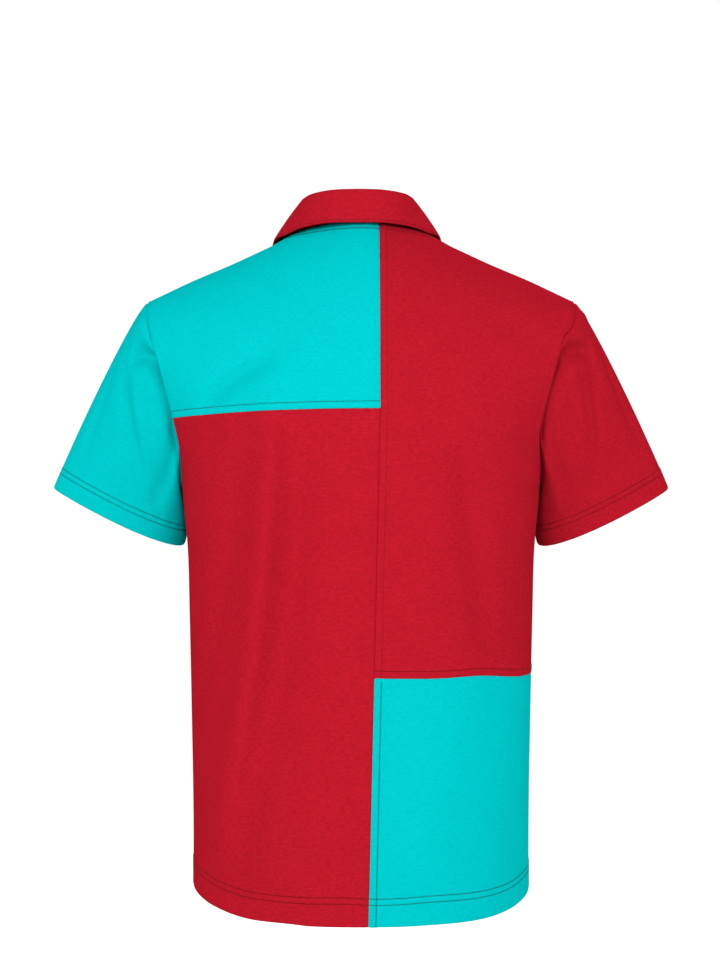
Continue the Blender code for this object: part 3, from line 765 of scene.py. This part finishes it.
def strip(half_width, low_z, lift):
    """x, z and points of a strip down the front's middle, from a level up to the neck, pushed out by lift."""
    t = np.linspace(0, 1, STRIP_ROWS)[:, None]
    x = half_width * np.sin(np.linspace(-1, 1, STRIP_COLUMNS) * np.pi / 2) + 0 * t
    z = low_z + (front_top(x) - BELOW_NECK - low_z) * t
    return x, z, pushed(on_wall(x, z, "front"), lift)


base = strip(UNDER_HALF_WIDTH, UNDER_END_Z, -UNDER_THICKNESS)[-1]
flat = laid_flat(base)
under_strip = cloth("placket_under_jersey", base, 0.0, UNDER_THICKNESS, flat, red)[0]
stands_for("placket_under")

x, z, base = strip(PLACKET_HALF_WIDTH, PLACKET_END_Z, PLACKET_LIFT)
flat = laid_flat(base)
from_side = PLACKET_HALF_WIDTH - np.abs(x)
from_end = np.minimum(from_side, z - PLACKET_END_Z)
relief = -0.0006 * bell(from_end, 0.0010) - 0.0003 * bell(from_end - PLACKET_STITCH, 0.0007)
over_strip, outer = cloth("placket_over_jersey", base, relief, PLACKET_THICKNESS, flat, red)
stands_for("placket_over")


def on_placket(xs, zs):
    """Points on the over strip at places down the front, and the directions out of it."""
    x, z = np.broadcast_arrays(np.asarray(xs, float), np.asarray(zs, float))
    step = 0.0005
    right = on_wall(x + step, z, "front") - on_wall(x - step, z, "front")
    up = on_wall(x, z + step, "front") - on_wall(x, z - step, "front")
    out = np.cross(right, up)
    out /= np.linalg.norm(out, axis=-1, keepdims=True)
    return on_wall(x, z, "front") + out * PLACKET_LIFT, out


# Two upright rows, the box's two level rows and its diagonals
reach = PLACKET_HALF_WIDTH - PLACKET_STITCH
box_foot, rows_top = PLACKET_END_Z + PLACKET_STITCH, PLACKET_STITCH_TOP_Z
box_top = box_foot + PLACKET_BOX
even = np.linspace(0, 1, 40)
sideways = 2 * even - 1
lines = [on_placket(side * reach + 0 * even, box_foot + (rows_top - box_foot) * even) for side in (-1, 1)]
lines += [on_placket(reach * sideways, level + 0 * even) for level in (box_foot, box_top)]
lines += [on_placket(side * reach * sideways, box_foot + (box_top - box_foot) * even) for side in (-1, 1)]
stitches("placket_stitching", lines, red_thread_with_painted_shade)


# ---------------------------------------------------------------------------------------------------------
# Buttons: three small discs of dyed polyester with a raised rim and four holes. Each is sewn to the under
# strip and comes through an upright buttonhole in the over strip.
# ---------------------------------------------------------------------------------------------------------

BUTTON_DROPS = (0.016, 0.064, 0.112)  # below the neck's lowest point
BUTTON_RADIUS, BUTTON_HEIGHT, BUTTON_LIFT = 0.0056, 0.0026, 0.0026
HOLE_RADIUS, HOLE_DEPTH = 0.00075, 0.0012
HOLE_SIDE = 0.0017 / 1.414  # across and up, from a button's middle to a hole
BUTTONHOLE_HALF, BUTTONHOLE_SLIT = 0.0085, 0.0006  # half its height, and half its width between stitches
DARK_POLYESTER, LIGHT_POLYESTER = (0.19, 0.005, 0.010), (0.26, 0.008, 0.015)

# A button's profile from its middle over the rim to its underside, as shares of its radius and its height
BUTTON_PROFILE = (
    (0.12, 0.66), (0.22, 0.66), (0.30, 0.66), (0.38, 0.66), (0.46, 0.66), (0.56, 0.68), (0.66, 0.74),
    (0.74, 0.90), (0.82, 1.0), (0.90, 0.99), (0.96, 0.90), (1.0, 0.70), (1.0, 0.35), (0.96, 0.12),
    (0.88, 0.0), (0.50, 0.0), (0.12, 0.0),
)
BUTTON_SIDES = 48


def button_finish():
    """Glossy dyed polyester with faint swirls under a clear coat."""
    made, shader = polyester("red polyester", DARK_POLYESTER, LIGHT_POLYESTER, 260.0, 0.28, swirl=1.5)
    shader.inputs["Coat Weight"].default_value = 0.3
    return made


def turned_disc(centre, right, up, out, finish, name):
    """A button: its profile turned about its axis, with four holes sunk as steep round bells."""
    radius = BUTTON_RADIUS * np.array(BUTTON_PROFILE)[:, :1]
    high = BUTTON_HEIGHT * np.array(BUTTON_PROFILE)[:, 1:]
    turn = np.linspace(0, 2 * np.pi, BUTTON_SIDES + 1)[:-1]
    x, y = radius * np.cos(turn), radius * np.sin(turn)
    h = high + 0 * x
    for hole_x, hole_y in ((1, 1), (1, -1), (-1, 1), (-1, -1)):
        reach = np.hypot(x - hole_x * HOLE_SIDE, y - hole_y * HOLE_SIDE)
        h = h - np.where(high > 0.4 * BUTTON_HEIGHT, HOLE_DEPTH, 0) * np.exp(-((reach / HOLE_RADIUS) ** 4))
    points = centre + x[..., None] * right + y[..., None] * up + h[..., None] * out
    number = np.arange(x.size).reshape(x.shape)
    ahead = np.roll(number, -1, axis=1)
    faces = np.stack([number[1:], ahead[1:], ahead[:-1], number[:-1]], axis=-1).reshape(-1, 4).tolist()
    faces += [number[0].tolist(), number[-1, ::-1].tolist()]
    mesh = bpy.data.meshes.new(name)
    mesh.from_pydata(points.reshape(-1, 3).tolist(), [], faces)
    return placed(name, mesh, finish)


glossy_red = button_finish()
across = np.array([1.0, 0.0, 0.0])
sewn_rows = []
for node, drop in zip(("button_top", "button_middle", "button_low"), BUTTON_DROPS):
    level = -NECK_FRONT_DROP - drop
    place, out = on_placket(0.0, level)
    up = np.cross(out, across)
    centre = place + out * (BUTTON_LIFT - PLACKET_LIFT)
    button = turned_disc(centre, across, up, out, glossy_red, node + "_disc")
    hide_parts(node)

    # The two sides of the buttonhole, then the two bars of thread between the button's holes
    slit = level + np.linspace(-BUTTONHOLE_HALF, BUTTONHOLE_HALF, 20)
    for side in (-1, 1):
        sewn_rows.append(on_placket(side * BUTTONHOLE_SLIT, slit))
    bar = np.linspace(-1, 1, 8)[:, None] * HOLE_SIDE * 1.35
    for side in (-1, 1):
        points = centre + out * (BUTTON_HEIGHT * 0.62) + up * bar + across * side * HOLE_SIDE
        sewn_rows.append((points, out + 0 * bar))
stitches("button_stitching", sewn_rows, red_thread_with_painted_shade,
         length=0.0026, gap=0.0002, radius=0.0003)


# ---------------------------------------------------------------------------------------------------------
# Sleeves: tubes of cotton jersey set into the armholes, turquoise on the left and red on the right. Each
# cuff is turned up once and held by two rows of stitching.
# ---------------------------------------------------------------------------------------------------------

CUFF_OUTER, CUFF_INNER = (0.3297, -0.2666), (0.1904, -0.3277)  # x and z of the cuff's upper and lower corner
CUFF_HALF_DEPTH, CUFF_POINT, CUFF_Y = 0.040, 0.35, -0.033  # CUFF_POINT makes its oval fuller underneath
SLEEVE_FORWARD = np.radians(9.0)  # how far the sleeve hangs forwards
SLEEVE_LEAN, SLEEVE_LEAN_UNDER = np.radians(38.0), np.radians(70.0)  # its slope at the armhole
SLEEVE_NARROWING = 0.25
SLEEVE_START, SLEEVE_END = 0.26, 0.91  # how strongly the curves hold their slopes at both ends
CUFF_STITCHES = (0.0180, 0.0240)
CUFF_ROWS = (0.0, 0.0008, 0.0022, 0.0045, 0.0075, 0.0105, 0.0135, 0.0160, 0.0172,
             0.0180, 0.0188, 0.0202, 0.0218, 0.0232, 0.0240, 0.0248, 0.0260, 0.0282)
CUFF_DEPTH = 0.0255
CUFF_RAISE = {"sleeve_left": 0.0016, "sleeve_right": 0.0004}  # how much higher the cuff is behind
ARMHOLE_ROWS = (0.0050, 0.0032, 0.0018, 0.0008, 0.0, -0.0010, -0.0020)
UNDER_ARMHOLE = 0.0050  # how far the sleeve reaches under the body beside a trough
TROUGH_DEPTH, TROUGH_PLACE = 0.0088, 0.0038  # the sleeve sinks beside the armhole, most at this distance
ROUND = 0.070  # metres round the sleeve for each radian
SLEEVE_AROUND, SLEEVE_ROWS = 144, 54  # columns, and rows between the cuff's and the armhole's

# Creases of each sleeve, as on the body: their places are metres round it from the shoulder's crest,
# positive behind, and metres below the armhole
SLEEVE_CREASES = {
    "sleeve_left": (
        (0.098, 0.002, 0.058, 0.034, -0.005, -0.0125, 0.0068),
        (0.074, -0.004, 0.034, 0.022, -0.004, 0.0030, 0.0075),
        (0.050, 0.056, 0.120, 0.086, -0.004, -0.0034, 0.0110),
        (0.078, 0.046, 0.124, 0.066, -0.003, 0.0020, 0.0100),
        (0.030, 0.060, 0.050, 0.170, 0.004, -0.0018, 0.0090),
        (0.150, 0.020, 0.140, 0.080, 0.003, -0.0022, 0.0080),
        (-0.090, 0.000, -0.050, 0.030, 0.004, -0.0036, 0.0060),
        (-0.060, 0.042, -0.112, 0.096, 0.004, -0.0024, 0.0085),
        (-0.040, 0.050, -0.046, 0.160, -0.004, 0.0018, 0.0100),
        (-0.145, 0.020, -0.132, 0.070, 0.003, -0.0020, 0.0080),
    ),
    "sleeve_right": (
        (0.093, 0.002, 0.052, 0.036, -0.005, -0.0115, 0.0066),
        (0.068, -0.006, 0.022, 0.016, -0.004, 0.0032, 0.0075),
        (0.052, 0.036, 0.092, 0.110, -0.004, -0.0026, 0.0070),
        (0.078, 0.026, 0.108, 0.088, -0.002, 0.0020, 0.0075),
        (0.026, 0.050, 0.040, 0.150, 0.004, -0.0024, 0.0080),
        (0.128, 0.016, 0.136, 0.080, 0.003, -0.0020, 0.0080),
        (-0.094, 0.000, -0.056, 0.026, 0.004, -0.0034, 0.0060),
        (-0.066, 0.036, -0.104, 0.092, 0.004, -0.0024, 0.0085),
        (-0.030, 0.044, -0.040, 0.140, -0.004, 0.0016, 0.0100),
        (-0.140, 0.024, -0.128, 0.074, 0.003, -0.0022, 0.0080),
    ),
}


def armhole(angle, inset):
    """Points of an armhole, as on the left: down the back, round the underarm and up the front.

    The height follows the angle's cosine, and the place on the wall is the wall's edge at that height.
    """
    z = UNDERARM_Z + (SHOULDER_Z - UNDERARM_Z) * (1 + np.cos(angle)) / 2
    back = on_wall(edge_x(z, "back") - inset * narrowed(z), z, "back")
    front = on_wall(edge_x(z, "front"), z, "front")
    return np.where(np.sin(angle)[:, None] >= 0, back, front)


def along_lines(lines, at):
    """Points at distances along the lines of a grid whose first axis runs along them."""
    run = np.pad(np.cumsum(np.linalg.norm(np.diff(lines, axis=0), axis=-1), axis=0), ((1, 0), (0, 0)))
    before = np.clip((run[None] < at[:, None]).sum(axis=1) - 1, 0, len(lines) - 2)
    low, high = np.take_along_axis(run, before, 0), np.take_along_axis(run, before + 1, 0)
    share = ((at - low) / (high - low))[..., None]
    first, second = (np.take_along_axis(lines, index[..., None], 0) for index in (before, before + 1))
    return first + (second - first) * share


def sleeve_curves(angle, inset, w):
    """Cubic curves from the armhole, at w = 0, to the oval of the cuff, at w = 1.

    They leave the armhole at the shoulder's slope and end down the sleeve's own axis.
    """
    start = armhole(angle, inset)
    outer, inner = np.array(CUFF_OUTER), np.array(CUFF_INNER)
    centre = np.array([(outer + inner)[0] / 2, CUFF_Y, (outer + inner)[1] / 2])
    half_width = np.linalg.norm(outer - inner) / 2
    wide = np.array([(outer - inner)[0], 0, (outer - inner)[1]]) / (2 * half_width)
    down = np.array([wide[2], 0, -wide[0]])
    axis = down * np.cos(SLEEVE_FORWARD) + np.array([0, -np.sin(SLEEVE_FORWARD), 0])
    deep = down * np.sin(SLEEVE_FORWARD) + np.array([0, np.cos(SLEEVE_FORWARD), 0])
    depth = CUFF_HALF_DEPTH * np.sin(angle) * (1 - CUFF_POINT * np.cos(angle))
    end = centre + half_width * np.cos(angle)[:, None] * wide + depth[:, None] * deep
    length = np.linalg.norm(end - start, axis=1)[:, None]
    lean = SLEEVE_LEAN + (SLEEVE_LEAN_UNDER - SLEEVE_LEAN) * (1 - np.cos(angle)) / 2
    inwards = -SLEEVE_NARROWING * np.sin(angle) * np.abs(np.sin(angle))
    leave = np.stack([np.cos(lean), inwards, -np.sin(lean)], axis=1)
    w = w[:, None, None]
    return (start * (1 + 2 * w) * (1 - w) ** 2 + end * w**2 * (3 - 2 * w)
            + leave * length * SLEEVE_START * w * (1 - w) ** 2 - axis * length * SLEEVE_END * w**2 * (1 - w))


angle = 2 * np.pi * np.arange(SLEEVE_AROUND) / SLEEVE_AROUND
around = np.where(angle < np.pi, angle, angle - 2 * np.pi) * ROUND

# Where a trough runs beside the armhole: below the shoulder, and weakly under the arm
troughed = ramp((np.abs(around) - 0.070) / 0.020) * (1 - 0.8 * ramp((np.abs(around) - 0.130) / 0.035))
behind = ramp((around - 0.030) / 0.020)


def sleeve_grid(inset, higher):
    """Points of a sleeve, as on the left, with their distances from the cuff's edge and from the armhole.

    The rows lie at equal distances along the sleeve's curves, and the cuff's edge is raised behind.
    """
    whole = sleeve_curves(angle, inset, np.linspace(1, 0, 240))
    to_armhole = np.linalg.norm(np.diff(whole, axis=0), axis=-1).sum(axis=0)
    first, last = CUFF_ROWS[-1], to_armhole - ARMHOLE_ROWS[0]
    share = np.linspace(0, 1, SLEEVE_ROWS + 2)[1:-1, None]
    distance = np.concatenate([
        np.array(CUFF_ROWS)[:, None] + 0 * to_armhole,
        first + (last - first) * share,
        to_armhole - np.array(ARMHOLE_ROWS)[:, None],
        to_armhole[None] + UNDER_ARMHOLE * (0.4 + 0.6 * troughed),
    ])
    raised = higher * np.clip(np.sin(angle), 0, 1) ** 0.5 * (1 - distance / to_armhole)
    curves = sleeve_curves(angle, inset, np.linspace(1.0, -0.045, 260))
    return along_lines(curves, np.maximum(distance + raised, 0)), distance, to_armhole - distance


def sleeve_lift(to_seam, creases):
    """How far the sleeve's cloth rises: its creases, less the trough and the groove beside the armhole.

    The trough is t e^(1-t), with t the distance from the armhole as a share of the trough's place.
    """
    t = np.maximum(to_seam, 0) / TROUGH_PLACE
    trough = TROUGH_DEPTH * t * np.exp(1 - t) * troughed
    wrinkle = creased(around + 0 * to_seam, to_seam, creases) * ramp(to_seam / 0.0080)
    groove = (0.0010 + 0.0016 * behind) * (1 - ramp((to_seam - 0.0003) / 0.0018))
    return wrinkle - trough - groove


for node, side, finish, thread_finish, slot, inset in (
        ("sleeve_left", 1, turquoise, teal_thread, "turquoise_jersey", 0.0),
        ("sleeve_right", -1, red, red_thread_with_painted_shade, "red_jersey", RIGHT_ARMHOLE_INSET)):
    form, distance, to_seam = sleeve_grid(inset, CUFF_RAISE[node])
    lift = sleeve_lift(to_seam, SLEEVE_CREASES[node])
    shape, near = (form * [side, 1, 1])[:, ::side], distance[:, ::side]
    base = pushed(shape, lift[:, ::side], wrapped=True)
    closed = np.concatenate([base, base[:, :1]], axis=1)
    flat = laid_flat(closed)
    relief = hem_relief(near, flat[:, :-1, 0], CUFF_STITCHES)
    depth = hem_thickness(near, CUFF_DEPTH)
    made, outer = cloth(node + "_jersey", base, relief, depth, flat, finish, wrapped=True)
    stands_for(node)
    square = facing_out(outer, wrapped=True)
    lines = []
    for row in map(CUFF_ROWS.index, CUFF_STITCHES):
        lines.append(tuple(np.concatenate([part[row], part[row, :1]]) for part in (outer, square)))
    stitches(node + "_stitching", lines, thread_finish, radius=HEM_THREAD)


# ---------------------------------------------------------------------------------------------------------
# Collar: red jersey over interlining, cut with its stand in one. It stands up from the neck seam, folds
# over and falls, and is stitched near its edge all round. Another row holds the neck seam to the back.
# ---------------------------------------------------------------------------------------------------------

# The collar from centre back to centre front: crest of the fold and edge of the leaf, at shares of the way
COLLAR_COLUMNS = ("share", "fold_x", "fold_y", "fold_z", "edge_x", "edge_y", "edge_z")
COLLAR_STATIONS = (
    (0.00, 0.0000, 0.0470, 0.0390, 0.0000, 0.0560, 0.0056),
    (0.14, 0.0230, 0.0450, 0.0386, 0.0300, 0.0512, 0.0056),
    (0.27, 0.0405, 0.0350, 0.0377, 0.0565, 0.0350, 0.0033),
    (0.38, 0.0514, 0.0200, 0.0366, 0.0727, 0.0195, -0.0010),
    (0.50, 0.0560, 0.0020, 0.0320, 0.0866, 0.0010, -0.0058),
    (0.57, 0.0545, -0.0170, 0.0210, 0.0905, -0.0180, -0.0165),
    (0.65, 0.0505, -0.0370, 0.0070, 0.0925, -0.0430, -0.0320),
    (0.82, 0.0330, -0.0610, -0.0190, 0.0800, -0.0730, -0.0640),
    (1.00, 0.0030, -0.0720, -0.0350, 0.0470, -0.0960, -0.0920),
)
FOLD_SHIFT, EDGE_SHIFT, COLLAR_TILT = 0.0030, 0.0042, 2.4  # worn, it leans to the wearer's left behind
FOLD_RADIUS, LEAF_BULGE = 0.0036, 0.0008
COLLAR_CLOTH, COLLAR_FOOT = 0.0022, 0.0009  # the thickness, and the thinner foot in the neck seam
STAND_INSET, STAND_DROP = 0.0009, 0.0025  # the foot's place, inside and below the neck seam
COLLAR_STITCH = 0.0021  # from the collar's edge to its stitching

# Lines of the grid: steps up the stand and round the fold, lines on the leaf at distances from its lower
# edge, and columns at shares of the way round from its front end
STAND_STEPS, FOLD_STEPS, LEAF_STEPS = 11, 10, 11
LEAF_FREE = 0.0105  # the leaf's even steps are shares of its length less this
LEAF_ROWS = (0.0085, 0.0060, 0.0042, 0.0033, 0.0027, 0.0024, COLLAR_STITCH, 0.0018, 0.0012, 0.0005, 0.0)
END_COLUMNS = (0.052, 0.044, 0.036, 0.029, 0.023, 0.018, 0.0145, 0.0115, 0.0097, 0.0082, 0.0067,
               0.0048, 0.0025, 0.0)

# Neckline stitching: half its width, its drop with the square of x, and where it lies below the neck seam
NECKLINE_HALF_WIDTH, NECKLINE_BEND, NECKLINE_DROP = 0.080, 0.9, 0.0005


def neck_seam(share):
    """Points of the left half of the neck seam, from centre back over the shoulder to centre front."""
    x = NECK_HALF_WIDTH * np.sin(share * np.pi)
    just_inside = 0.999999 * x
    back, front = (on_wall(x, top_z(just_inside, wall), wall) for wall in ("back", "front"))
    points = np.where(share[:, None] < 0.5, back, front)
    points[np.isclose(share, 0.5), 1] = 0.0
    return points


def collar_line(name, share, side, shift):
    """The fold's crest or the leaf's edge at shares of the way round, leaning to the wearer's left behind."""
    x, y, z = (smooth(COLLAR_STATIONS, COLLAR_COLUMNS, "share", f"{name}_{axis}", share) for axis in "xyz")
    lean = side * (1 - ramp((share - 0.55) / 0.4))
    return np.stack([x + lean * shift, y, z - lean * COLLAR_TILT * x**3], axis=1)


def collar_half(side, share):
    """Half the collar: at each station a section that stands up, folds over and falls to the leaf's edge."""
    fold, edge = collar_line("fold", share, side, FOLD_SHIFT), collar_line("edge", share, side, EDGE_SHIFT)
    seam = neck_seam(share)
    out = (edge - seam) * [1, 1, 0]
    out /= np.linalg.norm(out, axis=1)[:, None]
    up = np.array([0, 0, 1.0])
    foot = seam - out * STAND_INSET - up * STAND_DROP
    centre = fold - up * FOLD_RADIUS
    stand = centre - out * FOLD_RADIUS - foot
    section = [foot + stand * step for step in np.linspace(0, 1, STAND_STEPS)]
    fall = np.arctan2(centre[:, 2] - edge[:, 2], np.linalg.norm((edge - centre)[:, :2], axis=1))
    for step in np.linspace(0, 1, FOLD_STEPS)[1:]:
        turn = ((np.pi / 2 + fall) * step)[:, None]
        section.append(centre + FOLD_RADIUS * (up * np.sin(turn) - out * np.cos(turn)))
    start = section.pop()
    length = np.linalg.norm(edge - start, axis=1)[:, None]
    even = np.linspace(0, 1, LEAF_STEPS + 1)[:-1, None, None] * (1 - LEAF_FREE / length)
    near_edge = 1 - np.array(LEAF_ROWS)[:, None, None] / length
    for step in np.concatenate([even, near_edge]):
        section.append(start + (edge - start) * step + (out + up) * LEAF_BULGE * 4 * step * (1 - step))
    return np.stack(section) * [side, 1, 1]


share = np.concatenate([np.linspace(0, 0.94, 84), 1 - np.array(END_COLUMNS)])
left, right = collar_half(1, share), collar_half(-1, share)
form = np.concatenate([right[:, ::-1], left[:, 1:]], axis=1)
flat = laid_flat(form)
depth = COLLAR_FOOT + (COLLAR_CLOTH - COLLAR_FOOT) * ramp(flat[..., 1] / 0.006)
form = pushed(form, depth)
from_edge = flat[-1, :, 1] - flat[..., 1]
from_ends = np.minimum(flat[..., 0] - flat[:, :1, 0], flat[:, -1:, 0] - flat[..., 0])
nearest = np.minimum(from_edge, from_ends)
on_leaf = from_edge < 0.06
relief = -0.0006 * bell(nearest, 0.0010) - 0.0004 * bell(nearest - COLLAR_STITCH, 0.0007) * on_leaf
collar, outer = cloth("collar_jersey", form, relief, depth, flat, red)
stands_for("collar")

# One row of stitching along the leaf's edge, and one up each front end
square = facing_out(outer)
stitched = len(form) - len(LEAF_ROWS) + LEAF_ROWS.index(COLLAR_STITCH)
leaf_start, margin = STAND_STEPS + FOLD_STEPS - 1, 4
lines = [(outer[stitched, margin:-margin], square[stitched, margin:-margin])]
from_end, out_there = np.swapaxes(outer, 0, 1), np.swapaxes(square, 0, 1)
for grid, normals in ((from_end, out_there), (from_end[::-1], out_there[::-1])):
    at = np.full((1, grid.shape[1]), COLLAR_STITCH)
    lines.append((along_lines(grid, at)[0, leaf_start:-margin], normals[margin, leaf_start:-margin]))
stitches("collar_stitching", lines, red_thread)

# The neckline's stitching, in the colour of each block
x = np.linspace(NECKLINE_HALF_WIDTH, -NECKLINE_HALF_WIDTH, 120)
level = -NECKLINE_DROP - NECKLINE_BEND * x**2
grid = np.stack([on_wall(x, level + step, "back") for step in (-0.0005, 0.0, 0.0005)])
neck_out = facing_out(grid)[1]
line = grid[1] + neck_out * 0.00005
left_part = x > centre_seam_x(0.0) - 0.0005
left_line = (line[left_part], neck_out[left_part])
stitches("neckline_stitching_left", [left_line], teal_thread, radius=0.00046)
right_line = (line[~left_part], neck_out[~left_part])
stitches("neckline_stitching_right", [right_line], red_thread_with_painted_shade)


# ---------------------------------------------------------------------------------------------------------
# Surroundings: a pale floor far below the hem, even white light all round, and four soft lamps: a key lamp
# behind the camera, one at each side and one in front of the shirt. The camera looks at the back.
# ---------------------------------------------------------------------------------------------------------

FLOOR_HALF, FLOOR_Z = 6, -1.25
CAMERA_PLACE, CAMERA_LENS = (0.0011, 1.85, -0.261), 65.4

floor_mesh = bpy.data.meshes.new("floor")
corners = [(x * FLOOR_HALF, y * FLOOR_HALF, FLOOR_Z) for x, y in ((-1, -1), (1, -1), (1, 1), (-1, 1))]
floor_mesh.from_pydata(corners, [], [(0, 1, 2, 3)])
floor = bpy.data.objects.new("floor", floor_mesh)
bpy.context.scene.collection.objects.link(floor)
pale, *_, shader = new_finish("pale floor", 0.8)
shader.inputs["Base Color"].default_value = (0.95, 0.95, 0.95, 1.0)
floor_mesh.materials.append(pale)

world = bpy.data.worlds.new("studio")
bpy.context.scene.world = world
world.use_nodes = True
world.node_tree.nodes["Background"].inputs["Color"].default_value = (1.0, 1.0, 1.0, 1.0)
world.node_tree.nodes["Background"].inputs["Strength"].default_value = 1.04
bpy.context.scene.view_settings.view_transform = "Standard"


def lamp(name, place, aim, width, power):
    """A soft square lamp at a place, facing a point."""
    data = bpy.data.lights.new(name, "AREA")
    data.size, data.energy = width, power
    made = bpy.data.objects.new(name, data)
    made.location = place
    run = np.array(aim) - np.array(place)
    tilt = np.arctan2(np.hypot(run[0], run[1]), -run[2])
    made.rotation_euler = (tilt, 0, np.arctan2(run[1], run[0]) - np.pi / 2)
    bpy.context.scene.collection.objects.link(made)


lamp("key", (0.25, 2.15, 0.60), (0, 0, -0.2), 0.9, 58.0)
lamp("left", (1.75, 1.35, 0.0), (0, 0, -0.25), 0.7, 20.5)
lamp("right", (-1.75, 1.25, 0.1), (0, 0, -0.25), 0.7, 23.0)
lamp("front", (-0.6, -1.7, 1.0), (0, 0, -0.2), 0.9, 48.0)

camera = bpy.data.objects.new("camera", bpy.data.cameras.new("camera"))
camera.data.sensor_fit = "VERTICAL"
camera.data.sensor_height = 36.0
camera.data.lens = CAMERA_LENS
camera.location = CAMERA_PLACE
camera.rotation_euler = (np.pi / 2, 0, np.pi)
bpy.context.scene.collection.objects.link(camera)
bpy.context.scene.camera = camera
